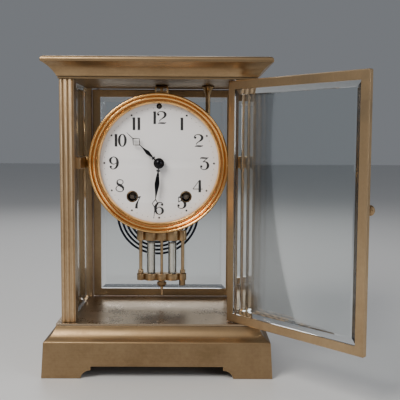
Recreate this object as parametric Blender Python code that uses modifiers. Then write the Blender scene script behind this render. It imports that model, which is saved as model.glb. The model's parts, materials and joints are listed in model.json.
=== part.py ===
"""A four-glass mantel clock: fluted brass case, glass doors, striking movement, gong and twin-vial pendulum.

Run it with: blender --background --python part.py
Lengths are in metres. +Z is up, the dial faces -Y, and the origin is the sole of the front left foot.
Inside the case frame, X = 0 and Y = 0 are the middle of the case.
"""

import math

import bmesh
import bpy
from mathutils import Matrix, Vector

MM = 0.001

# Clearances
GAP = 0.3 * MM  # between pieces that touch
RUN = 0.1 * MM  # radial play of a shaft in its hole
DOOR_PLAY = 0.6 * MM  # each side of a door between its columns
DOOR_END_PLAY = 0.8 * MM  # above and below a door

# Case, overall
CASE_WIDTH = 164.4 * MM  # over the columns
CASE_DEPTH = 106.2 * MM  # over the columns
COLUMN_HEIGHT = 205.8 * MM
COLUMN_SIZE = 12.0 * MM
FLUTE_DEPTH = 1.2 * MM
FLUTE_LAND = 0.9 * MM
FLUTES = 3

# Plinth
PLINTH_OVERHANG = 13.4 * MM  # of its upright face beyond the columns
PLINTH_FLARE = 1.6 * MM
PLINTH_FACE_HEIGHT = 30.0 * MM
PLINTH_HEIGHT = 42.0 * MM
PLINTH_WALL = 3.0 * MM
PLINTH_ROOF = 4.0 * MM
PLINTH_LEDGE = 0.8 * MM  # each way, from the top of its face to the cove
PLINTH_COVE_DEPTH = 1.6 * MM  # below a straight slope
FOOT_LENGTH = 33.0 * MM
FOOT_SIDE_LENGTH = 27.0 * MM
ARCH_HEIGHT = 10.0 * MM
ARCH_LOBE = (8.6 * MM, 6.8 * MM)

# Plates and cornice
PLATE_THICKNESS = 1.6 * MM
BASE_PLATE_OVERHANG = 4.2 * MM
TOP_PLATE_OVERHANG = 1.0 * MM
CORNICE_HEIGHT = 15.8 * MM
CORNICE_OVERHANG = 13.0 * MM
CORNICE_FOOT_OVERHANG = 1.9 * MM
SLAB_HEIGHT = 4.7 * MM
SLAB_ROUND = (3.2 * MM, 2.8 * MM)
CORNICE_LIP = 0.6 * MM  # fillets above and below its cove
CORNICE_COVE_DEPTH = 1.0 * MM  # below a straight slope
CORNICE_WALL = 3.0 * MM

# Doors and glasses
DOOR_THICKNESS = 4.6 * MM
DOOR_BAR = 7.2 * MM
DOOR_RECESS = 0.3 * MM  # of its face behind the columns' faces
DOOR_CHAMFER = 0.7 * MM
HINGE_INSET = 5.4 * MM  # of the hinge pins from the door's edge
HINGE_PIN_RADIUS = 1.2 * MM
HINGE_PIN_DEPTH = 6.0 * MM
FRONT_DOOR_OPEN = 132.0  # degrees, at rest
GLASS_EDGE = 1.9 * MM
GLASS_THICKNESS = 3.6 * MM
GLASS_BEVEL = 6.0 * MM
SIDE_GLASS_INSET = 4.5 * MM  # of its outer face behind the columns' outer faces
KNOB_RISE = 105.3 * MM  # above the door's lower edge
KNOB_SPINDLE_RADIUS = 1.1 * MM

# Movement, with its middle on the case's middle line
DIAL_DROP = 70.5 * MM  # of the dial's centre below the roof
DRUM_RADIUS = 57.5 * MM
DRUM_WALL = 1.2 * MM
DRUM_FRONT = -33.0 * MM
DRUM_LENGTH = 36.6 * MM
BEZEL_RADIUS = 60.2 * MM
BEZEL_DEPTH = 9.6 * MM
DIAL_OPENING_RADIUS = 51.4 * MM
DIAL_THICKNESS = 1.2 * MM
DIAL_SET_BACK = 0.6 * MM
MOVEMENT_PLATE_THICKNESS = 1.8 * MM
FRONT_PLATE_SET_BACK = 4.4 * MM
PILLAR_RADIUS = 2.6 * MM
PILLAR_CIRCLE = 50.0 * MM
RAIL_HEIGHT = 10.4 * MM
RAIL_THICKNESS = 4.3 * MM
RAIL_LAP = 1.1 * MM  # over the columns' inner edges
EAR_LENGTH = 12.0 * MM
EAR_SET_BACK = 6.0 * MM  # of the ears from the drum's back

# Train, with each (X, Z) from the dial's centre
WINDING_ARBOR_AT = (23.4 * MM, -29.2 * MM)
REGULATOR_AT = (0.0, 49.2 * MM)
PALLET_DROP = 13.5 * MM  # of the escape wheel's axis below the pallets' axis
THIRD_ARBOR_ANGLE = 60.0  # degrees above the horizontal
CENTRE_WHEEL_RADIUS = 16.6 * MM
SECOND_WHEEL_RADIUS = 17.6 * MM
THIRD_WHEEL_RADIUS = 14.2 * MM
ESCAPE_WHEEL_RADIUS = 9.6 * MM
WHEEL_TEETH = 48  # of the barrels, second and centre wheels
THIRD_TEETH = 42
ESCAPE_TEETH = 30
WHEEL_THICKNESS = 1.2 * MM
WHEEL_RIM = 2.6 * MM
SPOKE_WIDTH = 1.8 * MM
TOOTH_DEPTH = 1.1 * MM
PINION_LAP = 1.0 * MM  # each side of the rim that drives it
ARBOR_RADIUS = 1.0 * MM
WINDING_ARBOR_RADIUS = 2.4 * MM
WINDING_SQUARE = 3.0 * MM
WINDING_HOLE_RADIUS = 4.8 * MM
REGULATOR_HOLE_RADIUS = 2.4 * MM
CENTRE_HOLE_RADIUS = 3.4 * MM
BARREL_RADIUS = 16.4 * MM
BARREL_WHEEL_RADIUS = 18.2 * MM
BARREL_LENGTH = 17.0 * MM
BARREL_RIM = 1.8 * MM
BARREL_SET_BACK = 2.0 * MM  # behind the front plate
PINION_RADIUS = 2.7 * MM

# Hands
HOUR_HAND_LENGTH = 38.4 * MM
MINUTE_HAND_LENGTH = 48.2 * MM
HOUR_HAND_AT = 313.4  # degrees clockwise from twelve
MINUTE_HAND_AT = 185.2
HAND_THICKNESS = 0.7 * MM
HAND_STEM = 1.1 * MM
HAND_HUB_RADIUS = 4.6 * MM
HAND_WIRE = 0.75 * MM  # from the diamond's outer corners to its opening's
HOUR_HAND_LIFT = 3.2 * MM  # of its face off the dial
MINUTE_HAND_LIFT = 5.0 * MM
HOUR_PIPE_RADIUS = 2.6 * MM
CENTRE_ARBOR_RADIUS = 1.5 * MM

# Crutch and pendulum
CRUTCH_REACH = 20.0 * MM
CRUTCH_THICKNESS = 1.4 * MM
CRUTCH_WIDTH = 2.0 * MM
CRUTCH_HUB_RADIUS = 2.4 * MM
PENDULUM_Y = 12.4 * MM
SUSPENSION_DROP = 7.3 * MM  # of the spring's bending point below the roof
SPRING_THICKNESS = 0.3 * MM
SPRING_WIDTH = 4.0 * MM
SPRING_GRIP = 1.6 * MM  # of its top held above its bending point
COCK_WIDTH = 12.8 * MM
COCK_DEPTH = 10.0 * MM
COCK_LAP = 1.0 * MM  # below the spring's bending point
COCK_BEVEL = 1.6 * MM
ROD_RADIUS = 1.3 * MM
ROD_DROP = 10.0 * MM  # of its top below the spring's bending point
ROD_RISE = 9.5 * MM  # of its lower end above the case's floor
BOB_RISE = 71.7 * MM  # of the bob's top above the floor
BOB_TOP_THICKNESS = 9.6 * MM
BOB_BOTTOM_THICKNESS = 6.4 * MM
VIAL_HEIGHT = 31.4 * MM
VIAL_RADIUS = 4.0 * MM
VIAL_OFFSET = 10.0 * MM
SIDE_ROD_RADIUS = 1.6 * MM
SIDE_ROD_OFFSET = 19.8 * MM
SIDE_COLLAR_RADIUS = 2.6 * MM
SIDE_COLLAR_HEIGHT = 3.4 * MM
SIDE_NUT_RADIUS = 3.0 * MM
SIDE_NUT_HEIGHT = 5.4 * MM
END_LOBE_RADIUS = 4.0 * MM
END_LOBE_INSET = 0.4 * MM  # of its middle from the side rod
LOBE_RADIUS = 6.4 * MM
RATING_NUT_RADIUS = 4.5 * MM
RATING_NUT_HEIGHT = 5.6 * MM

# Gong and hammer
GONG_AT = (-5.5 * MM, -50.8 * MM)  # (X, Z) from the dial's centre
GONG_Y = 30.0 * MM
GONG_RADIUS = 39.6 * MM
GONG_PITCH = 3.7 * MM
GONG_TURNS = 5.5
GONG_STEPS = 16  # straight lengths in a turn
GONG_WIRE_RADIUS = 1.1 * MM
GONG_END_ANGLE = 14.0  # degrees above the horizontal
GONG_POST_AT = (42.8 * MM, 12.0 * MM)
GONG_POST_RADIUS = 2.2 * MM
GONG_POST_FLARE = 5.8 * MM
GONG_BLOCK_SIZE = 7.0 * MM
HAMMER_ARBOR_AT = (-34.0 * MM, -15.8 * MM)  # (X, Z) from the dial's centre
HAMMER_HEAD_RADIUS = 3.4 * MM
HAMMER_ARM_RADIUS = 0.8 * MM
HAMMER_GAP = 0.5 * MM  # between its head and the coil's rim
HAMMER_ANGLE = 152.0  # degrees, where it meets the coil

# Worked-out places
COLUMN_BOTTOM = PLINTH_HEIGHT + GAP + PLATE_THICKNESS + GAP
COLUMN_TOP = COLUMN_BOTTOM + COLUMN_HEIGHT
BASE_PLATE_BOTTOM = PLINTH_HEIGHT + GAP
TOP_PLATE_BOTTOM = COLUMN_TOP + GAP
CORNICE_BOTTOM = TOP_PLATE_BOTTOM + PLATE_THICKNESS + GAP
FLOOR_HEIGHT = BASE_PLATE_BOTTOM + PLATE_THICKNESS
DIAL_HEIGHT = TOP_PLATE_BOTTOM - DIAL_DROP
SUSPENSION_HEIGHT = TOP_PLATE_BOTTOM - SUSPENSION_DROP
GONG_CENTRE = (GONG_AT[0], GONG_Y, DIAL_HEIGHT + GONG_AT[1])
INNER_HALF = CASE_WIDTH / 2 - COLUMN_SIZE
INNER_HALF_DEPTH = CASE_DEPTH / 2 - COLUMN_SIZE
PLINTH_HALF = (CASE_WIDTH / 2 + PLINTH_OVERHANG, CASE_DEPTH / 2 + PLINTH_OVERHANG)
FOOT_MIDDLE = (
    PLINTH_HALF[0] + PLINTH_FLARE - FOOT_LENGTH / 2,
    PLINTH_HALF[1] + PLINTH_FLARE - PLINTH_WALL,
)
DOOR_HALF = INNER_HALF - DOOR_PLAY
DOOR_BOTTOM = COLUMN_BOTTOM - GAP + DOOR_END_PLAY
DOOR_TOP = TOP_PLATE_BOTTOM - DOOR_END_PLAY
KNOB_HEIGHT = DOOR_BOTTOM + KNOB_RISE
HINGE_X = DOOR_HALF - HINGE_INSET
HINGE_Y = CASE_DEPTH / 2 - DOOR_RECESS - DOOR_THICKNESS / 2
BEZEL_BACK = DRUM_FRONT - GAP
DIAL_FRONT = DRUM_FRONT + DIAL_SET_BACK
DRUM_BACK = DRUM_FRONT + DRUM_LENGTH
BACK_PLATE_FRONT = DRUM_BACK + GAP
BACK_PLATE_BACK = BACK_PLATE_FRONT + MOVEMENT_PLATE_THICKNESS
FRONT_PLATE_FRONT = DIAL_FRONT + DIAL_THICKNESS + FRONT_PLATE_SET_BACK - GAP
FRONT_PLATE_BACK = FRONT_PLATE_FRONT + MOVEMENT_PLATE_THICKNESS


def mesh_distance(wheel_radius):
    """From a wheel's axis to that of the pinion it drives, with play between their teeth."""
    return wheel_radius + PINION_RADIUS + GAP


def place_second_arbor():
    """Where the second arbor meshes with the barrel and reaches the centre arbor."""
    bx, bz = WINDING_ARBOR_AT
    from_barrel = mesh_distance(BARREL_WHEEL_RADIUS)
    from_centre = mesh_distance(SECOND_WHEEL_RADIUS)
    span = math.hypot(bx, bz)
    along = (from_centre**2 - from_barrel**2 + span**2) / (2 * span)
    aside = math.sqrt(from_centre**2 - along**2)
    return ((along * bx - aside * bz) / span, (along * bz + aside * bx) / span)


def place_third_arbor():
    turn = math.radians(THIRD_ARBOR_ANGLE)
    reach = mesh_distance(CENTRE_WHEEL_RADIUS)
    return (reach * math.cos(turn), reach * math.sin(turn))


SECOND_ARBOR_AT = place_second_arbor()
THIRD_ARBOR_AT = place_third_arbor()
ESCAPE_RISE = math.sqrt(mesh_distance(THIRD_WHEEL_RADIUS) ** 2 - THIRD_ARBOR_AT[0] ** 2)
ESCAPE_ARBOR_AT = (0.0, THIRD_ARBOR_AT[1] + ESCAPE_RISE)
PALLET_ARBOR_AT = (0.0, ESCAPE_ARBOR_AT[1] + PALLET_DROP)
BARREL_FRONT = FRONT_PLATE_BACK + BARREL_SET_BACK
CENTRE_WHEEL_FRONT = BACK_PLATE_FRONT - 8.5 * MM
SECOND_WHEEL_FRONT = CENTRE_WHEEL_FRONT + WHEEL_THICKNESS + 2.0 * MM
THIRD_WHEEL_FRONT = CENTRE_WHEEL_FRONT - 7.4 * MM
ESCAPE_WHEEL_FRONT = THIRD_WHEEL_FRONT - 5.2 * MM

# Finishes: colour, roughness, metallic
FINISHES = {
    "aged_brass": ((0.42, 0.26, 0.13), 0.38, 1.0),
    "door_brass": ((0.62, 0.40, 0.20), 0.32, 1.0),
    "gilt_brass": ((0.80, 0.42, 0.13), 0.2, 1.0),
    "movement_brass": ((0.66, 0.46, 0.2), 0.3, 1.0),
    "clear_glass": ((0.85, 0.9, 0.9), 0.03, 0.0),
    "white_enamel": ((0.84, 0.82, 0.82), 0.15, 0.0),
    "black_steel": ((0.015, 0.015, 0.018), 0.35, 0.8),
    "blued_steel": ((0.02, 0.025, 0.04), 0.3, 0.9),
    "steel": ((0.55, 0.55, 0.54), 0.3, 1.0),
    "mercury_glass": ((0.75, 0.70, 0.66), 0.12, 0.9),
}


def new_collection(name):
    collection = bpy.data.collections.new(name)
    bpy.context.scene.collection.children.link(collection)
    return collection


def make_material(name):
    colour, roughness, metallic = FINISHES[name]
    material = bpy.data.materials.new(name)
    material.use_nodes = True
    shader = material.node_tree.nodes["Principled BSDF"]
    shader.inputs["Base Color"].default_value = (*colour, 1.0)
    shader.inputs["Roughness"].default_value = roughness
    shader.inputs["Metallic"].default_value = metallic
    material.diffuse_color = (*colour, 1.0)
    return material


def start_scene():
    for obj in list(bpy.data.objects):
        bpy.data.objects.remove(obj)
    parts = new_collection("four_glass_mantel_clock")
    cutters = new_collection("cutters")
    materials = {name: make_material(name) for name in FINISHES}
    return parts, cutters, materials


PARTS, CUTTERS, MATERIALS = start_scene()


def pivot(name, location, parent=None, rotation=(0, 0, 0)):
    """An empty on a joint's axis, or at a frame's origin."""
    empty = bpy.data.objects.new(name, None)
    empty.empty_display_size = 0.02
    empty.location = location
    empty.rotation_euler = [math.radians(angle) for angle in rotation]
    empty.parent = parent
    PARTS.objects.link(empty)
    return empty


def shade(mesh, angle=35):
    mesh.shade_smooth()
    mesh.set_sharp_from_angle(angle=math.radians(angle))


def add_part(name, mesh, finish, parent):
    """A mesh as a named part, given in its parent's coordinates."""
    obj = bpy.data.objects.new(name, mesh)
    mesh.materials.clear()
    mesh.materials.append(MATERIALS[finish])
    shade(mesh)
    obj.parent = parent
    PARTS.objects.link(obj)
    return obj


def add_cutter(name, mesh, parent):
    obj = bpy.data.objects.new(name, mesh)
    obj.hide_render = True
    obj.display_type = "WIRE"
    obj.parent = parent
    CUTTERS.objects.link(obj)
    return obj


def boolean(obj, cutter, operation="DIFFERENCE"):
    modifier = obj.modifiers.new(operation.lower(), "BOOLEAN")
    modifier.operation = operation
    modifier.solver = "EXACT"
    modifier.object = cutter


def evaluated_mesh(obj):
    graph = bpy.context.evaluated_depsgraph_get()
    return bpy.data.meshes.new_from_object(obj.evaluated_get(graph))


def tidy(mesh, matrix=None):
    """Welds a mesh, faces it outwards and places it."""
    work = bmesh.new()
    work.from_mesh(mesh)
    bmesh.ops.remove_doubles(work, verts=work.verts, dist=1e-6)
    bmesh.ops.dissolve_degenerate(work, edges=work.edges, dist=1e-7)
    if matrix is not None:
        work.transform(matrix)
    bmesh.ops.recalc_face_normals(work, faces=work.faces)
    if work.calc_volume(signed=True) < 0:
        bmesh.ops.reverse_faces(work, faces=work.faces)
    work.to_mesh(mesh)
    work.free()
    return mesh


def from_bmesh(name, work):
    mesh = bpy.data.meshes.new(name)
    work.to_mesh(mesh)
    work.free()
    return tidy(mesh)


def box_mesh(name, low, high, bevel=0.0, segments=1):
    """A box between two corners, with its edges bevelled."""
    work = bmesh.new()
    bmesh.ops.create_cube(work, size=1.0)
    size = Vector(high) - Vector(low)
    middle = (Vector(high) + Vector(low)) / 2
    work.transform(Matrix.Translation(middle) @ Matrix.Diagonal((*size, 1.0)))
    if bevel:
        bmesh.ops.bevel(
            work, geom=work.edges[:], offset=bevel, segments=segments, profile=0.5, affect="EDGES"
        )
    return from_bmesh(name, work)


def cylinder_mesh(name, radius, start, end, axis="Z", at=(0.0, 0.0), sides=24):
    """A cylinder along an axis. `at` holds the other two coordinates, in the order X, Y, Z."""
    work = bmesh.new()
    bmesh.ops.create_cone(
        work, cap_ends=True, segments=sides, radius1=radius, radius2=radius, depth=end - start
    )
    middle = (start + end) / 2
    if axis == "Z":
        place = Matrix.Translation((at[0], at[1], middle))
    elif axis == "Y":
        place = Matrix.Translation((at[0], middle, at[1])) @ Matrix.Rotation(math.pi / 2, 4, "X")
    else:
        place = Matrix.Translation((middle, at[0], at[1])) @ Matrix.Rotation(math.pi / 2, 4, "Y")
    work.transform(place)
    return from_bmesh(name, work)


def turned_mesh(name, profile, steps=32, closed=False, along="Z", at=(0.0, 0.0, 0.0)):
    """A turned piece from (radius, height) points, along Z, or along -Y with its top to the front."""
    mesh = bpy.data.meshes.new(name)
    edges = [(i, i + 1) for i in range(len(profile) - 1)]
    if closed:
        edges.append((len(profile) - 1, 0))
    mesh.from_pydata([(radius, 0.0, height) for radius, height in profile], edges, [])
    obj = bpy.data.objects.new(name, mesh)
    CUTTERS.objects.link(obj)
    screw = obj.modifiers.new("turn", "SCREW")
    screw.steps = steps
    screw.render_steps = steps
    screw.use_merge_vertices = True
    screw.merge_threshold = 1e-5
    turned = evaluated_mesh(obj)
    bpy.data.objects.remove(obj)
    place = Matrix.Translation(at)
    if along == "Y":
        place = place @ Matrix.Rotation(math.pi / 2, 4, "X")
    return tidy(turned, place)


def outline_mesh(name, loops, low, high, plane="XZ", at=(0.0, 0.0)):
    """A flat outline, with any holes, given a thickness from low to high square to its plane."""
    curve = bpy.data.curves.new(name, "CURVE")
    curve.dimensions = "2D"
    curve.fill_mode = "BOTH"
    curve.extrude = (high - low) / 2
    for loop in loops:
        spline = curve.splines.new("POLY")
        spline.points.add(len(loop) - 1)
        for point, (u, v) in zip(spline.points, loop):
            point.co = (u, v, 0.0, 1.0)
        spline.use_cyclic_u = True
    obj = bpy.data.objects.new(name, curve)
    CUTTERS.objects.link(obj)
    bpy.context.view_layer.update()
    mesh = evaluated_mesh(obj)
    bpy.data.objects.remove(obj)
    middle = (low + high) / 2
    if plane == "XZ":
        place = Matrix.Translation((at[0], middle, at[1])) @ Matrix.Rotation(math.pi / 2, 4, "X")
    elif plane == "YZ":
        place = Matrix.Translation((middle, at[0], at[1])) @ Matrix(
            ((0, 0, 1, 0), (1, 0, 0, 0), (0, 1, 0, 0), (0, 0, 0, 1))
        )
    else:
        place = Matrix.Translation((at[0], at[1], middle))
    return tidy(mesh, place)


def tube_mesh(name, points, radius):
    """A round wire through points."""
    curve = bpy.data.curves.new(name, "CURVE")
    curve.dimensions = "3D"
    curve.bevel_depth = radius
    curve.bevel_resolution = 2
    curve.use_fill_caps = True
    spline = curve.splines.new("POLY")
    spline.points.add(len(points) - 1)
    for point, place in zip(spline.points, points):
        point.co = (*place, 1.0)
    obj = bpy.data.objects.new(name, curve)
    CUTTERS.objects.link(obj)
    bpy.context.view_layer.update()
    mesh = evaluated_mesh(obj)
    bpy.data.objects.remove(obj)
    return tidy(mesh)


def circle(radius, at=(0.0, 0.0), sides=24, start=0.0):
    turns = [2 * math.pi * i / sides + start for i in range(sides)]
    return [(at[0] + radius * math.cos(t), at[1] + radius * math.sin(t)) for t in turns]


def ellipse_arc(centre, radii, first, last, steps):
    """Points on an ellipse between two angles in degrees, ends included."""
    angles = [math.radians(first + (last - first) * i / steps) for i in range(steps + 1)]
    return [(centre[0] + radii[0] * math.cos(a), centre[1] + radii[1] * math.sin(a)) for a in angles]


def toothed(outer, root, teeth):
    """A wheel's outline, with pointed teeth."""
    points = []
    for tooth in range(teeth):
        for share, radius in ((0.0, root), (0.5, outer)):
            angle = 2 * math.pi * (tooth + share) / teeth
            points.append((radius * math.cos(angle), radius * math.sin(angle)))
    return points


def mirrored(points):
    """A closed outline from its right half, which runs from the bottom to the top."""
    return points + [(-u, v) for u, v in reversed(points)]


FOOT_FRAME = pivot("front_left_foot_sole", (FOOT_MIDDLE[0], FOOT_MIDDLE[1], 0.0))


# ---- plinth, plates, columns and cornice ----


def moulded_block(name, profile):
    """A block over the case's plan, with a moulding of (overhang, height) points round its four sides."""
    work = bmesh.new()
    rings = []
    for overhang, height in profile:
        x = CASE_WIDTH / 2 + overhang
        y = CASE_DEPTH / 2 + overhang
        rings.append([work.verts.new((u, v, height)) for u, v in ((-x, -y), (x, -y), (x, y), (-x, y))])
    for low, high in zip(rings, rings[1:]):
        for side in range(4):
            after = (side + 1) % 4
            work.faces.new((low[side], low[after], high[after], high[side]))
    work.faces.new(reversed(rings[0]))
    work.faces.new(rings[-1])
    return from_bmesh(name, work)


def cove(first, last, depth):
    """Points of a moulding's shallow hollow, from its lower corner to its upper one."""
    across = last[0] - first[0]
    up = last[1] - first[1]
    span = math.hypot(across, up)
    points = []
    for i in range(8):
        share = i / 7
        sink = 4 * depth * share * (1 - share) / span
        points.append((first[0] + across * share - up * sink, first[1] + up * share + across * sink))
    return points


def plinth_profile():
    """(overhang, height) up the plinth: a flared face, a small ledge and a shallow cove to the plate."""
    face = PLINTH_OVERHANG
    ledge = (face - PLINTH_LEDGE, PLINTH_FACE_HEIGHT + PLINTH_LEDGE)
    slope = cove(ledge, (BASE_PLATE_OVERHANG, PLINTH_HEIGHT), PLINTH_COVE_DEPTH)
    return [(face + PLINTH_FLARE, 0.0), (face, PLINTH_FACE_HEIGHT), *slope]


def arch_outline(half, foot):
    """The cut between two feet: a wide slot with a rounded lobe at each end."""
    slot = half - foot
    across, up = ARCH_LOBE
    below = 1.0 * MM
    lobe = ellipse_arc((slot - across, -below), (across, up + below), 0, 90, 6)
    return mirrored([(slot, -2 * below), *lobe, (slot - across, ARCH_HEIGHT)])


def make_plinth():
    plinth = add_part("base_plinth", moulded_block("base_plinth", plinth_profile()), "aged_brass", FOOT_FRAME)
    step = PLINTH_FACE_HEIGHT - PLINTH_WALL
    hollows = {
        "plinth_lower_hollow": (PLINTH_OVERHANG - PLINTH_WALL, -PLINTH_WALL, step),
        "plinth_upper_hollow": (
            BASE_PLATE_OVERHANG - PLINTH_ROOF,
            step - PLINTH_WALL,
            PLINTH_HEIGHT - PLINTH_ROOF,
        ),
    }
    for name, (overhang, low, high) in hollows.items():
        x = CASE_WIDTH / 2 + overhang
        y = CASE_DEPTH / 2 + overhang
        boolean(plinth, add_cutter(name, box_mesh(name, (-x, -y, low), (x, y, high)), FOOT_FRAME))
    sole = [half + PLINTH_FLARE for half in PLINTH_HALF]
    front_loop = arch_outline(sole[0], FOOT_LENGTH)
    side_loop = arch_outline(sole[1], FOOT_SIDE_LENGTH)
    front_cut = outline_mesh("front_arch", [front_loop], -CASE_DEPTH, CASE_DEPTH, "XZ")
    side_cut = outline_mesh("side_arch", [side_loop], -CASE_WIDTH, CASE_WIDTH, "YZ")
    boolean(plinth, add_cutter("front_arch", front_cut, FOOT_FRAME))
    boolean(plinth, add_cutter("side_arch", side_cut, FOOT_FRAME))


def make_plate(name, overhang, bottom):
    """A case plate with a hole for a hinge pin of each door."""
    half_x = CASE_WIDTH / 2 + overhang
    half_y = CASE_DEPTH / 2 + overhang
    mesh = box_mesh(name, (-half_x, -half_y, bottom), (half_x, half_y, bottom + PLATE_THICKNESS))
    plate = add_part(name, mesh, "aged_brass", FOOT_FRAME)
    for label, side in (("front", 1), ("rear", -1)):
        hole = cylinder_mesh(
            f"{name}_{label}_pin_hole",
            HINGE_PIN_RADIUS + RUN,
            bottom - 1 * MM,
            bottom + PLATE_THICKNESS + 1 * MM,
            at=(side * HINGE_X, -side * HINGE_Y),
            sides=20,
        )
        boolean(plate, add_cutter(f"{name}_{label}_pin_hole", hole, FOOT_FRAME))


def column_outline():
    """A square with hollow flutes in its front and left faces."""
    half = COLUMN_SIZE / 2
    pitch = COLUMN_SIZE / FLUTES
    flute = pitch - FLUTE_LAND
    front = [(-half, -half)]
    for i in range(FLUTES):
        start = -half + i * pitch + FLUTE_LAND / 2
        for step in range(5):
            share = step / 4
            depth = FLUTE_DEPTH * 4 * share * (1 - share)
            front.append((start + flute * share, -half + depth))
    left = [(v, u) for u, v in reversed(front[1:])]
    return [*left, *front, (half, -half), (half, half), (-half, half)]


def make_columns():
    """Four columns sharing one mesh, each turned so that its flutes face outwards."""
    mesh = outline_mesh("column", [column_outline()], COLUMN_BOTTOM, COLUMN_TOP, "XY")
    x = CASE_WIDTH / 2 - COLUMN_SIZE / 2
    y = CASE_DEPTH / 2 - COLUMN_SIZE / 2
    places = {
        "column_front_left": (-x, -y, 0),
        "column_front_right": (x, -y, 90),
        "column_rear_right": (x, y, 180),
        "column_rear_left": (-x, y, 270),
    }
    for name, (px, py, turn) in places.items():
        column = add_part(name, mesh, "aged_brass", FOOT_FRAME)
        column.location = (px, py, 0.0)
        column.rotation_euler = (0.0, 0.0, math.radians(turn))


def cornice_profile():
    """(overhang, height) up the cornice: a shallow cove under a round-edged slab."""
    foot = CORNICE_FOOT_OVERHANG
    slab = CORNICE_OVERHANG
    top = CORNICE_BOTTOM + CORNICE_HEIGHT
    under = top - SLAB_HEIGHT
    low = (foot, CORNICE_BOTTOM + CORNICE_LIP)
    slope = cove(low, (slab - CORNICE_LIP, under), CORNICE_COVE_DEPTH)
    across, up = SLAB_ROUND
    edge = ellipse_arc((slab - across, top - up), SLAB_ROUND, 0, 90, 5)
    return [(foot, CORNICE_BOTTOM), *slope, (slab, under), *edge]


def make_cornice():
    cornice = add_part("cornice", moulded_block("cornice", cornice_profile()), "aged_brass", FOOT_FRAME)
    inset = CORNICE_WALL - CORNICE_FOOT_OVERHANG
    inner = (CASE_WIDTH / 2 - inset, CASE_DEPTH / 2 - inset)
    hollow = box_mesh(
        "cornice_hollow",
        (-inner[0], -inner[1], CORNICE_BOTTOM - CORNICE_WALL),
        (inner[0], inner[1], CORNICE_BOTTOM + CORNICE_HEIGHT - CORNICE_WALL),
    )
    boolean(cornice, add_cutter("cornice_hollow", hollow, FOOT_FRAME))


# ---- glasses and doors ----


def bevelled_glass(name, half_u, low_v, high_v, outward):
    """A pane square to X or Y, from its inner face outwards, with a ground bevel round its outer face."""
    work = bmesh.new()
    bmesh.ops.create_cube(work, size=1.0)
    middle = (low_v + high_v) / 2
    place = Matrix.Translation((0.0, -GLASS_EDGE / 2, middle))
    work.transform(place @ Matrix.Diagonal((2 * half_u, GLASS_EDGE, high_v - low_v, 1.0)))
    outer = [face for face in work.faces if face.normal.y < -0.9]
    bmesh.ops.inset_region(work, faces=outer, thickness=GLASS_BEVEL, depth=0.0)
    crown = {vert for face in work.faces if face.normal.y < -0.9 for vert in face.verts}
    raised = [v for v in crown if abs(v.co.x) < half_u - GLASS_BEVEL / 2]
    raised = [v for v in raised if low_v + GLASS_BEVEL / 2 < v.co.z < high_v - GLASS_BEVEL / 2]
    bmesh.ops.translate(work, verts=raised, vec=(0.0, GLASS_EDGE - GLASS_THICKNESS, 0.0))
    work.transform(Matrix.Rotation(math.radians(outward), 4, "Z"))
    return from_bmesh(name, work)


def make_side_glasses():
    x = CASE_WIDTH / 2 - SIDE_GLASS_INSET - GLASS_THICKNESS
    for label, side, turn in (("left", -1, -90), ("right", 1, 90)):
        mesh = bevelled_glass(
            f"side_glass_{label}", INNER_HALF_DEPTH - GAP, COLUMN_BOTTOM, COLUMN_TOP, turn
        )
        glass = add_part(f"side_glass_{label}", mesh, "clear_glass", FOOT_FRAME)
        glass.location = (side * x, 0.0, 0.0)


def knob_profile():
    """A small ringed pull on a spindle, from its tip inwards."""
    face = DOOR_THICKNESS / 2
    tip = face + 7.2 * MM
    return [
        (0.0, tip),
        (2.2 * MM, tip - 0.3 * MM),
        (3.6 * MM, tip - 1.3 * MM),
        (4.0 * MM, tip - 2.4 * MM),
        (3.3 * MM, tip - 3.3 * MM),
        (3.7 * MM, tip - 4.1 * MM),
        (2.4 * MM, tip - 5.2 * MM),
        (2.4 * MM, face + 1.2 * MM),
        (3.7 * MM, face + 0.9 * MM),
        (3.7 * MM, face + GAP),
        (KNOB_SPINDLE_RADIUS, face + GAP),
        (KNOB_SPINDLE_RADIUS, -face + 0.8 * MM),
        (0.0, -face + 0.8 * MM),
    ]


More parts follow.
